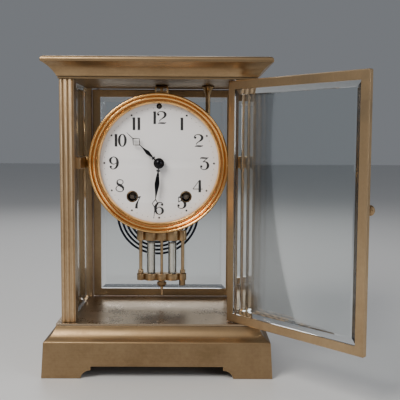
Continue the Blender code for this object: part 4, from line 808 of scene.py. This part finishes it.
def hand_loops(length, leaf, leaf_at, eye, eye_at):
    """The outline of a hand and of its diamond's opening."""
    half_leaf, reach = leaf
    half_eye, eye_reach = eye
    collar = HUB + 1.4 * MM
    right = [
        (STEM, HUB * 0.99), (STEM, collar - 0.2 * MM),
        *arc((STEM, collar + 0.5 * MM), (1.3 * MM, 0.7 * MM), -80, 80, 8),
        (STEM, collar + 1.5 * MM),
    ]
    right += smooth_line([
        (STEM * 1.1, leaf_at - 0.86 * reach), (0.62 * half_leaf, leaf_at - 0.55 * reach),
        (half_leaf, leaf_at), (0.66 * half_leaf, leaf_at + 0.45 * reach), (STEM * 0.8, leaf_at + reach),
    ], 5)
    right += [
        (STEM * 0.7, eye_at - eye_reach), (half_eye, eye_at), (STEM * 0.7, eye_at + eye_reach),
        (STEM * 0.55, length - 3 * MM), (STEM * 0.25, length),
    ]
    corner = math.degrees(math.asin(STEM / HUB))
    hub = arc((0.0, 0.0), (HUB, HUB), 90 + corner, 450 - corner, 72)
    outer = [*right, *[(-u, v) for u, v in reversed(right)], *hub[1:-1]]
    inner = [
        (0.0, eye_at - eye_reach + 1.7 * WIRE), (half_eye - 1.3 * WIRE, eye_at),
        (0.0, eye_at + eye_reach - 1.7 * WIRE), (1.3 * WIRE - half_eye, eye_at),
    ]
    return [outer, inner]


def add_hand(node, body, turn, lift, loops):
    """A hand whose face stands a distance off the dial."""
    thick = 0.7 * MM
    place = facing(thick / 2 - lift, turn)
    flat = outlined(node + "_blade", [*loops, ring(1.6 * MM, steps=32)], thick, place, 0.12 * MM)
    meshes = [flat]
    if node == "hour_hand":
        pipe = [(1.6, -0.4), (2.6, -0.4), (2.6, -5.0), (1.6, -5.0)]
        meshes.append(lathe("hour_pipe", pipe, 48, (DIAL.x, DIAL.y - lift, DIAL.z)))
    add_piece(node + "_blade", joined(node + "_blade", meshes), body, blackened, [node])


hour_loops = hand_loops(38.4 * MM, (1.7 * MM, 6.2 * MM), 13.4 * MM, (4.1 * MM, 4.3 * MM), 26.9 * MM)
minute_loops = hand_loops(48.2 * MM, (2.05 * MM, 12.0 * MM), 17.8 * MM, (2.9 * MM, 3.7 * MM), 35.0 * MM)
add_hand("hour_hand", "hour", HOUR_TURN, 3.2 * MM, hour_loops)
add_hand("minute_hand", "minute", MINUTE_TURN, 5.0 * MM, minute_loops)

NUT_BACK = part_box("hand_nut")[1].y
arbor_rise = (NUT_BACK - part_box("centre_wheel")[0].y) / MM
print("centre arbor stands out of its nut's back by mm", round(arbor_rise, 2))
nut_rise = arbor_rise + 0.7
nut_section = [(1.6, 0.0), (1.6, arbor_rise + 0.15), (0.0, arbor_rise + 0.15)]
nut_section += [*arc((0.0, 0.5), (3.3, nut_rise - 0.5), 90, 0, 16), (3.3, 0.0)]
nut_mesh = lathe("dome_nut", nut_section, at=(DIAL.x, NUT_BACK, DIAL.z))
add_piece("dome_nut", nut_mesh, "minute", blackened, ["hand_nut"])

# %% [markdown]
# ## Doors and glasses
# Every glass has a flat middle and a ground bevel round it. The solid pane is copied, its back is
# divided to match its front, and each face takes one of two finishes: the middle a clear sheet, and
# the band real, refracting glass.

# %% Panes
BEVEL_WIDTH = 6.0 * MM
PANES = {
    "side_glass_left": "case",
    "side_glass_right": "case",
    "front_door_glass": "front_door",
    "rear_door_glass": "rear_door",
}


def glazed(node, body):
    work = bmesh.new()
    work.from_mesh(frame["nodes"][node].data)
    bmesh.ops.remove_doubles(work, verts=work.verts, dist=2e-6)
    bmesh.ops.dissolve_limit(work, angle_limit=math.radians(0.5), verts=work.verts, edges=work.edges)
    by_area = sorted(work.faces, key=lambda face: -face.calc_area())
    back, front = by_area[0], by_area[1]
    facing_back = back.normal.copy()
    facing_front = front.normal.copy()
    bmesh.ops.inset_region(work, faces=[back], thickness=BEVEL_WIDTH, depth=0.0)
    mesh = finished(work, node + "_pane", 5)
    add_piece(node + "_pane", mesh, body, [pane, bevel_glass], [node])
    inner_area = 0.72 * max(face.area for face in mesh.polygons)
    for face in mesh.polygons:
        square = max(face.normal.dot(facing_back), face.normal.dot(facing_front)) > 0.999
        face.material_index = 0 if square and face.area > inner_area else 1


for node, body in PANES.items():
    glazed(node, body)
print("panes:", len(PANES))

# %% [markdown]
# The door frames are brass bars with their edges taken off. Each has a small ringed pull, turned, and
# two steel hinge pins.

# %% Door frames, pulls and pins
FRONT_DOOR_TURN = 132.0
joints = {joint["name"]: joint for joint in frame["joints"]}
PULL_AT = (-130.2 * MM, 150.0 * MM)
pull_section = [
    (0.0, -1.5), (1.1, -1.5), (1.1, 2.65), (3.6, 2.65), (3.75, 2.8), (3.6, 3.3), (2.5, 3.5), (2.3, 3.9),
    (2.4, 4.3), (3.3, 4.9), (3.75, 5.4), (3.55, 5.9), (3.25, 6.15), (3.5, 6.5),
    *arc((0.0, 7.1), (4.0, 2.4), 0, 85, 12), (0.0, 9.5),
]
for side, turn in (("front", FRONT_DOOR_TURN), ("rear", 180.0)):
    body = side + "_door"
    refined(body + "_frame", body, door_brass, 0.22 * MM)
    for end in ("top", "bottom"):
        refined(f"{body}_pin_{end}", body, bright_steel, 0.0)
    x, y, _ = joints[body + "_hinge"]["pos_m"]
    hinge = Matrix.Translation((x, y, 0.0)) @ Matrix.Rotation(math.radians(turn), 4, "Z")
    pull = lathe(body + "_pull", pull_section, at=(PULL_AT[0], 0.0, PULL_AT[1]))
    pull.transform(hinge)
    add_piece(body + "_pull", pull, body, fitting_brass, [body + "_knob"])

# %% [markdown]
# ## Movement
# The drum is a brass tube held between two rails by an ear at each side. Its back plate is round, with
# a hole for each arbor that comes through and a slotted screw over each pillar.

# %% Drum
DRUM_AT = (DIAL.x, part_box("movement_drum")[0].y, DIAL.z)
drum_low, drum_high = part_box("movement_drum")
drum_section = [(56.3, 0.0), (57.2, 0.0), (57.5, -0.3), (57.5, -36.3), (57.2, -36.6), (56.3, -36.6)]
tube = lathe("drum_tube", drum_section, 160, DRUM_AT)


def block(name, low, high, ease):
    """A bar between two corners with its edges eased."""
    work = bmesh.new()
    bmesh.ops.create_cube(work, size=1.0)
    low, high = Vector(low), Vector(high)
    work.transform(Matrix.Translation((low + high) / 2) @ Matrix.Diagonal((*(high - low), 1.0)))
    mesh = finished(work, name)
    return eased(mesh, ease) if ease else mesh


EAR = (10.4 * MM, 12.0 * MM, 6.0 * MM)
ear_parts = [tube]
for side in (-1, 1):
    outer = drum_low.x if side < 0 else drum_high.x
    inner = DIAL.x + side * 56.9 * MM
    low = (min(outer, inner), drum_high.y - EAR[2] - EAR[1], DIAL.z - EAR[0] / 2)
    high = (max(outer, inner), drum_high.y - EAR[2], DIAL.z + EAR[0] / 2)
    ear_parts.append(block("drum_ear", low, high, 0.3 * MM))
add_piece("drum", joined("drum", ear_parts), "case", movement_brass, ["movement_drum"])

# %% Back plate
back_low, back_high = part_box("back_movement_plate")
PLATE_THICK = back_high.y - back_low.y
PALLETS_AT = (0.0, 44.609 * MM)
HAMMER_AT = (-34.0 * MM, -15.8 * MM)
plate_holes = [ring(57.5 * MM, steps=160)]
plate_holes += [ring(1.1 * MM, spot, 24) for spot in (REGULATOR_AT, PALLETS_AT)]
plate_holes += [ring(2.5 * MM, spot, 36) for spot in winding_spots]
plate_holes.append(ring(1.1 * MM, HAMMER_AT, 24))
plate_place = facing((back_low.y + back_high.y) / 2 - DIAL.y)
plate_mesh = outlined("back_plate", plate_holes, PLATE_THICK, plate_place, 0.25 * MM)
add_piece("back_plate", plate_mesh, "case", movement_brass, ["back_movement_plate"])

# %% [markdown]
# A screw head is turned and slotted once. A tree then stands one on each point it is given, which
# does for the plate, the cock and the post.


# %% Slotted screws
def screw_head():
    profile = [(0.0, -0.6), (2.0, -0.6), (2.0, 0.45), (1.75, 0.75), (1.2, 0.9), (0.0, 0.95)]
    head = bpy.data.objects.new("screw_head", lathe("screw_head", profile, 32, along="Z"))
    groove = block("screw_slot", (-3 * MM, -0.25 * MM, 0.4 * MM), (3 * MM, 0.25 * MM, 2 * MM), 0.0)
    slot = bpy.data.objects.new("screw_slot", groove)
    for obj in (head, slot):
        bpy.context.scene.collection.objects.link(obj)
    cut = head.modifiers.new("slot", "BOOLEAN")
    cut.solver = "EXACT"
    cut.object = slot
    mesh = baked(head)
    bpy.data.objects.remove(slot)
    return mesh


def standing_screws():
    """A screw head on each point, each turned as its own number says."""
    tree = Tree("screws", Head="object", Turn="number", Finish="material")
    head = tree.node("GeometryNodeObjectInfo", None, {"Object": tree.given("Head")}, output="Geometry")
    number = tree.node("GeometryNodeInputIndex")
    turn = tree.node("ShaderNodeCombineXYZ", None, {"Z": number * tree.given("Turn") + 0.4})
    sockets = {"Points": tree.given("Geometry"), "Instance": head, "Rotation": turn}
    return tree.close(tree.node("GeometryNodeInstanceOnPoints", None, sockets))


screws = standing_screws()
screw = bpy.data.objects.new("screw", screw_head())
bpy.context.scene.collection.objects.link(screw)


def add_screws(name, spots, place):
    values = {"Head": screw, "Turn": 2.1, "Finish": bright_steel}
    mesh = grown(screws, points_mesh(name, spots), place, **values)
    add_piece(name, mesh, "case", bright_steel)


PILLAR_TURNS = (38, 142, 206, 334)
BACK_TO_FRONT = Matrix.Rotation(math.pi, 4, "Z")
pillar_spots = [(-50 * MM * math.cos(t), 50 * MM * math.sin(t), 0) for t in map(math.radians, PILLAR_TURNS)]
back_place = Matrix.Translation((DIAL.x, back_high.y, DIAL.z)) @ BACK_TO_FRONT @ STAND_UP
add_screws("back_plate_screws", pillar_spots, back_place)

# %% [markdown]
# ## Suspension, gong and hammer
# The pendulum hangs from a cock screwed under the roof. Beside it a post holds the gong, a flat coil
# of round wire. The coil follows a rule, so its line is worked out point by point and a tree gives it
# its thickness.

# %% Cock and its screws
refined("suspension_cock", "case", movement_brass, 0.3 * MM)
cock_low, cock_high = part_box("suspension_cock")
cock_middle = (cock_low + cock_high) / 2
cock_spots = [(side * 3.2 * MM, 0.0, 0.0) for side in (-1, 1)]
cock_place = Matrix.Translation((cock_middle.x, cock_low.y, cock_middle.z + 0.4 * MM)) @ STAND_UP
add_screws("cock_screws", cock_spots, cock_place)


# %% Gong wire
def wire_along():
    """A round wire along the base's edges."""
    tree = Tree("wire", Radius="number", Sides="count", Finish="material")
    line = tree.node("GeometryNodeMeshToCurve", None, {"Mesh": tree.given("Geometry")})
    sizes = {"Resolution": tree.given("Sides"), "Radius": tree.given("Radius")}
    section = tree.node("GeometryNodeCurvePrimitiveCircle", None, sizes)
    sockets = {"Curve": line, "Profile Curve": section, "Fill Caps": True}
    return tree.close(tree.node("GeometryNodeCurveToMesh", None, sockets))


GONG_MIDDLE = CASE + Vector((-5.5, 30.0, 129.0)) * MM
GONG_START = 14.0
GONG_TURNS = 5.5
GONG_RADIUS = 39.6
GONG_PITCH = 3.7
GONG_END_X = 41.3 * MM
STEPS_A_TURN = 72
coil = []
for step in range(round(GONG_TURNS * STEPS_A_TURN) + 1):
    turn = math.radians(GONG_START) - 2 * math.pi * step / STEPS_A_TURN
    radius = (GONG_RADIUS - GONG_PITCH * step / STEPS_A_TURN) * MM
    coil.append(GONG_MIDDLE + Vector((radius * math.cos(turn), 0.0, radius * math.sin(turn))))
coil.insert(0, Vector((CASE.x + GONG_END_X, GONG_MIDDLE.y, coil[0].z + 2.0 * MM)))
coil_edges = [(i, i + 1) for i in range(len(coil) - 1)]
gong_values = {"Radius": 1.1 * MM, "Sides": 16, "Finish": blued}
gong_mesh = grown(wire_along(), points_mesh("gong_coil", coil, coil_edges), Matrix(), **gong_values)
add_piece("gong_coil", gong_mesh, "case", blued, ["gong"])
print("gong wire m", round(sum((b - a).length for a, b in zip(coil, coil[1:])), 2))

# %% Gong post
POST = CASE + Vector((42.8, 12.0, 0.0)) * MM
post_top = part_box("gong_post")[1].z
block_z = coil[0].z
flare = [(2.2 + 3.6 * (1 - s / 10) ** 2, -1.2 - 10.0 * s / 10) for s in range(11)]
post_section = [(0.0, 0.0), (5.6, 0.0), (5.8, -0.2), (5.8, -1.0), *flare]
post_profile = [(r * MM, post_top + h * MM) for r, h in post_section] + [(2.2 * MM, block_z), (0.0, block_z)]
post_turned = turned("post_stem", post_profile, 48, "Z", (POST.x, POST.y, 0.0))
block_half = 3.5 * MM
block_low = (POST.x - block_half, POST.y - block_half, block_z - block_half)
block_high = (POST.x + block_half, GONG_MIDDLE.y + block_half, block_z + block_half)
post_mesh = joined("post", [post_turned, block("post_block", block_low, block_high, 0.5 * MM)])
add_piece("post", post_mesh, "case", fitting_brass, ["gong_post"])
clamp_place = Matrix.Translation((POST.x, block_low[1], block_z)) @ STAND_UP
add_screws("post_screw", [(0.0, 0.0, 0.0)], clamp_place)

# %% [markdown]
# ## Pendulum
# Two glass vials of quicksilver hang between brass plates. Each plate is five round bosses in a row.
# Two side rods join the plates, and the main rod runs down between the vials to a knurled nut that
# sets the rate.

# %% Lobed plates
END_LOBE_X = 19.4
VIAL_X = 10.0
SIDE_ROD_X = 19.8
BOTTOM_PLATE_THICK = 6.4 * MM
LOBES = [(-END_LOBE_X, 4.0), (-VIAL_X, 6.4), (0.0, 6.4), (VIAL_X, 6.4), (END_LOBE_X, 4.0)]
PENDULUM = CASE + Vector((0.0, 12.4, 0.0)) * MM


def lobed_loop(lobes, steps=14):
    """The outline round overlapping discs in a row: each upper arc from one crossing to the next."""
    crossings = []
    for (a, ra), (b, rb) in zip(lobes, lobes[1:]):
        crossings.append((a + b) / 2 + (ra**2 - rb**2) / (2 * (b - a)))
    edges = [lobes[0][0] - lobes[0][1], *crossings, lobes[-1][0] + lobes[-1][1]]
    upper = []
    for (centre, radius), start, end in zip(lobes, edges, edges[1:]):
        first = math.degrees(math.acos(max(-1.0, min(1.0, (start - centre) / radius))))
        last = math.degrees(math.acos(max(-1.0, min(1.0, (end - centre) / radius))))
        upper += arc((centre, 0.0), (radius, radius), first, last, steps)[:-1]
    upper.append((edges[-1], 0.0))
    lower = [(u, -v) for u, v in reversed(upper[1:-1])]
    return [(u * MM, v * MM) for u, v in [*upper, *lower]]


for node in ("pendulum_top_plate", "pendulum_bottom_plate"):
    low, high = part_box(node)
    if node == "pendulum_bottom_plate":
        low.z = high.z - BOTTOM_PLATE_THICK
    place = Matrix.Translation((PENDULUM.x, PENDULUM.y, (low.z + high.z) / 2))
    loops = [lobed_loop(LOBES), ring(1.6 * MM, steps=32)]
    meshes = [outlined(node, loops, high.z - low.z, place, 0.5 * MM)]
    if node == "pendulum_bottom_plate":
        nut = [(0.0, 0.0), (2.7, 0.0), (3.0, -0.3), (3.0, -5.1), (2.7, -5.4), (0.0, -5.4)]
        nut_place = (PENDULUM.x + END_LOBE_X * MM, PENDULUM.y, low.z)
        nut_profile = [(r * MM, (h + 0.2) * MM) for r, h in nut]
        meshes.append(turned("side_nut", nut_profile, 6, "Z", nut_place))
    add_piece(node + "_bosses", joined(node, meshes), "pendulum", fitting_brass, [node])

# %% Rods
rod_low, rod_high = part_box("pendulum_rod")
rod_ends = [(0.0, rod_low.z), (1.0 * MM, rod_low.z), (1.3 * MM, rod_low.z + 0.3 * MM)]
rod_ends += [(1.3 * MM, rod_high.z - 0.3 * MM), (1.0 * MM, rod_high.z), (0.0, rod_high.z)]
rod_mesh = turned("rod", rod_ends, 32, "Z", (PENDULUM.x, PENDULUM.y, 0.0))
add_piece("rod", rod_mesh, "pendulum", column_brass, ["pendulum_rod"])
for side, x in (("left", -SIDE_ROD_X), ("right", SIDE_ROD_X)):
    node = "pendulum_side_rod_" + side
    low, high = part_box(node)
    section = [(0.0, low.z), (2.4 * MM, low.z), (2.6 * MM, low.z + 0.25 * MM), (2.6 * MM, low.z + 2.6 * MM)]
    section += [(2.4 * MM, low.z + 3.0 * MM), (1.6 * MM, low.z + 3.4 * MM), (1.6 * MM, high.z), (0.0, high.z)]
    mesh = turned(node + "_turned", section, 40, "Z", (PENDULUM.x + x * MM, PENDULUM.y, 0.0))
    add_piece(node + "_turned", mesh, "pendulum", column_brass, [node])

# %% Vials
for side, x in (("left", -VIAL_X), ("right", VIAL_X)):
    node = "vial_" + side
    low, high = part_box(node)
    middle_of_vial = (PENDULUM.x + x * MM, PENDULUM.y, 0.0)
    tall = high.z - low.z
    shell = [(0.0, 0.0), (3.7, 0.0), (4.0, 0.3)]
    shell += [(4.0, 1e3 * tall - 0.3), (3.7, 1e3 * tall), (0.0, 1e3 * tall)]
    column = [(0.0, 0.6), (3.3, 0.6), (3.6, 1.0), (3.6, 28.4), (3.2, 28.9), (0.0, 29.2)]
    shell_profile = [(r * MM, low.z + h * MM) for r, h in shell]
    column_profile = [(r * MM, low.z + h * MM) for r, h in column]
    shell_mesh = turned(node + "_tube", shell_profile, 64, "Z", middle_of_vial)
    column_mesh = turned(node + "_quicksilver", column_profile, 64, "Z", middle_of_vial)
    add_piece(node + "_tube", shell_mesh, "pendulum", pane, [node])
    add_piece(node + "_quicksilver", column_mesh, "pendulum", quicksilver)

# %% Rating nut
nut_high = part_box("rating_nut")[1]
nut_places = (PENDULUM.x, PENDULUM.y, nut_high.z)
nut_section = [(1.6, 0.0), (2.6, 0.0), (2.7, -0.15), (2.7, -1.2), (4.0, -1.7), (4.1, -1.9), (4.1, -4.2)]
nut_section += [(3.9, -4.5), (3.15, -5.6), (1.6, -5.6)]
nut_body = lathe("nut_body", nut_section, 64, nut_places, "Z")
RIDGES = 36
ridge_turns = [2 * math.pi * i / RIDGES for i in range(RIDGES)]
ridge_spots = [(4.15 * MM * math.cos(t), 4.15 * MM * math.sin(t), 0) for t in ridge_turns]
ridge_place = Matrix.Translation((PENDULUM.x, PENDULUM.y, nut_high.z - 3.05 * MM))
ridge_values = {"Radius": 0.33 * MM, "Height": 2.2 * MM, "Sides": 8, "Finish": fitting_brass}
ridges = grown(pegs, points_mesh("nut_ridges", ridge_spots), ridge_place, **ridge_values)
nut_whole = joined("knurled_nut", [nut_body, ridges])
add_piece("knurled_nut", nut_whole, "rating_nut", fitting_brass, ["rating_nut"])

# %% [markdown]
# ## Small steel parts
# The winding arbors show in their holes, and the crutch and hammer show from behind. They are sound
# as they are, so their copies are only eased. Whatever is left stays inside the drum, and takes its
# finish in place.

# %% Arbors, crutch, hammer and the rest
STEEL_PARTS = {
    "time_winding_arbor": "time_winding",
    "strike_winding_arbor": "strike_winding",
    "regulator_arbor": "regulator",
    "crutch": "pallets",
    "gong_hammer": "hammer",
}
# The arbors take the darkened steel that paints the shade inside the dial's holes.
for node, body in STEEL_PARTS.items():
    refined(node, body, bright_steel if body in ("pallets", "hammer") else shaded_arbor, 0.15 * MM)
bpy.data.objects.remove(screw)
SLOT_FINISHES = {
    "movement_brass": movement_brass,
    "steel": bright_steel,
    "door_brass": door_brass,
    "aged_brass": case_brass,
    "gilt_brass": gilt,
    "black_steel": blackened,
}
left_as_they_are = []
for node, obj in frame["nodes"].items():
    slots = [material.name.split(".")[0] for material in obj.data.materials if material]
    if obj.hide_render or not slots or slots[0] not in SLOT_FINISHES:
        continue
    left_as_they_are.append(node)
    for index in range(len(obj.data.materials)):
        obj.data.materials[index] = SLOT_FINISHES[slots[0]]
print("nodes with a finish of their own:", len(left_as_they_are), left_as_they_are)

# %% [markdown]
# ## Camera, floor and light
# The camera stands a little above the dial's height and looks slightly down. The light is a large
# soft box high on the left, a weaker one on the right, another behind, and a dim grey room.

# %% Camera
camera_data = bpy.data.cameras.new("camera")
camera_data.lens = 61.6
camera_data.sensor_width = 36.0
camera = bpy.data.objects.new("camera", camera_data)
camera.location = CASE + Vector((32.75, -628.8, 196.9)) * MM
camera.rotation_euler = (math.radians(85.3), math.radians(-0.3), math.radians(-0.26))
bpy.context.scene.collection.objects.link(camera)
bpy.context.scene.camera = camera


# %% Floor and lights
def soft_box(name, at, aim, width, power, colour=(1, 1, 1)):
    data = bpy.data.lights.new(name, "AREA")
    data.shape = "SQUARE"
    data.size = width
    data.energy = power
    data.color = colour
    lamp = bpy.data.objects.new(name, data)
    lamp.location = at
    lamp.rotation_euler = (Vector(aim) - Vector(at)).to_track_quat("-Z", "Y").to_euler()
    bpy.context.scene.collection.objects.link(lamp)


floor_finish = Finish("pale_floor", Roughness=0.4)
grey = floor_finish.noise(3.0, 2.0)
floor_finish.feed("Base Color", floor_finish.mix(grey, (0.60, 0.60, 0.60, 1), (0.63, 0.63, 0.63, 1)))
floor_work = bmesh.new()
bmesh.ops.create_grid(floor_work, x_segments=1, y_segments=1, size=6.0)
floor_work.transform(Matrix.Translation((CASE.x, CASE.y, -0.0002)))
floor_mesh = bpy.data.meshes.new("floor")
floor_work.to_mesh(floor_mesh)
floor_work.free()
floor_mesh.materials.append(floor_finish.material)
floor = bpy.data.objects.new("floor", floor_mesh)
bpy.context.scene.collection.objects.link(floor)

aim = CASE + Vector((0, 0, 0.14))
soft_box("key", CASE + Vector((-0.7, -0.9, 1.15)), aim, 0.7, 24.0, (1.0, 0.96, 0.90))
soft_box("fill", CASE + Vector((1.1, -0.8, 0.6)), aim, 0.9, 8.0, (0.95, 0.97, 1.0))
soft_box("rim", CASE + Vector((-0.2, 1.0, 0.9)), aim, 0.7, 5.0)

world = bpy.data.worlds.new("room")
bpy.context.scene.world = world
world.use_nodes = True
room = world.node_tree.nodes["Background"]
room.inputs["Color"].default_value = (0.36, 0.38, 0.41, 1.0)
room.inputs["Strength"].default_value = 0.5
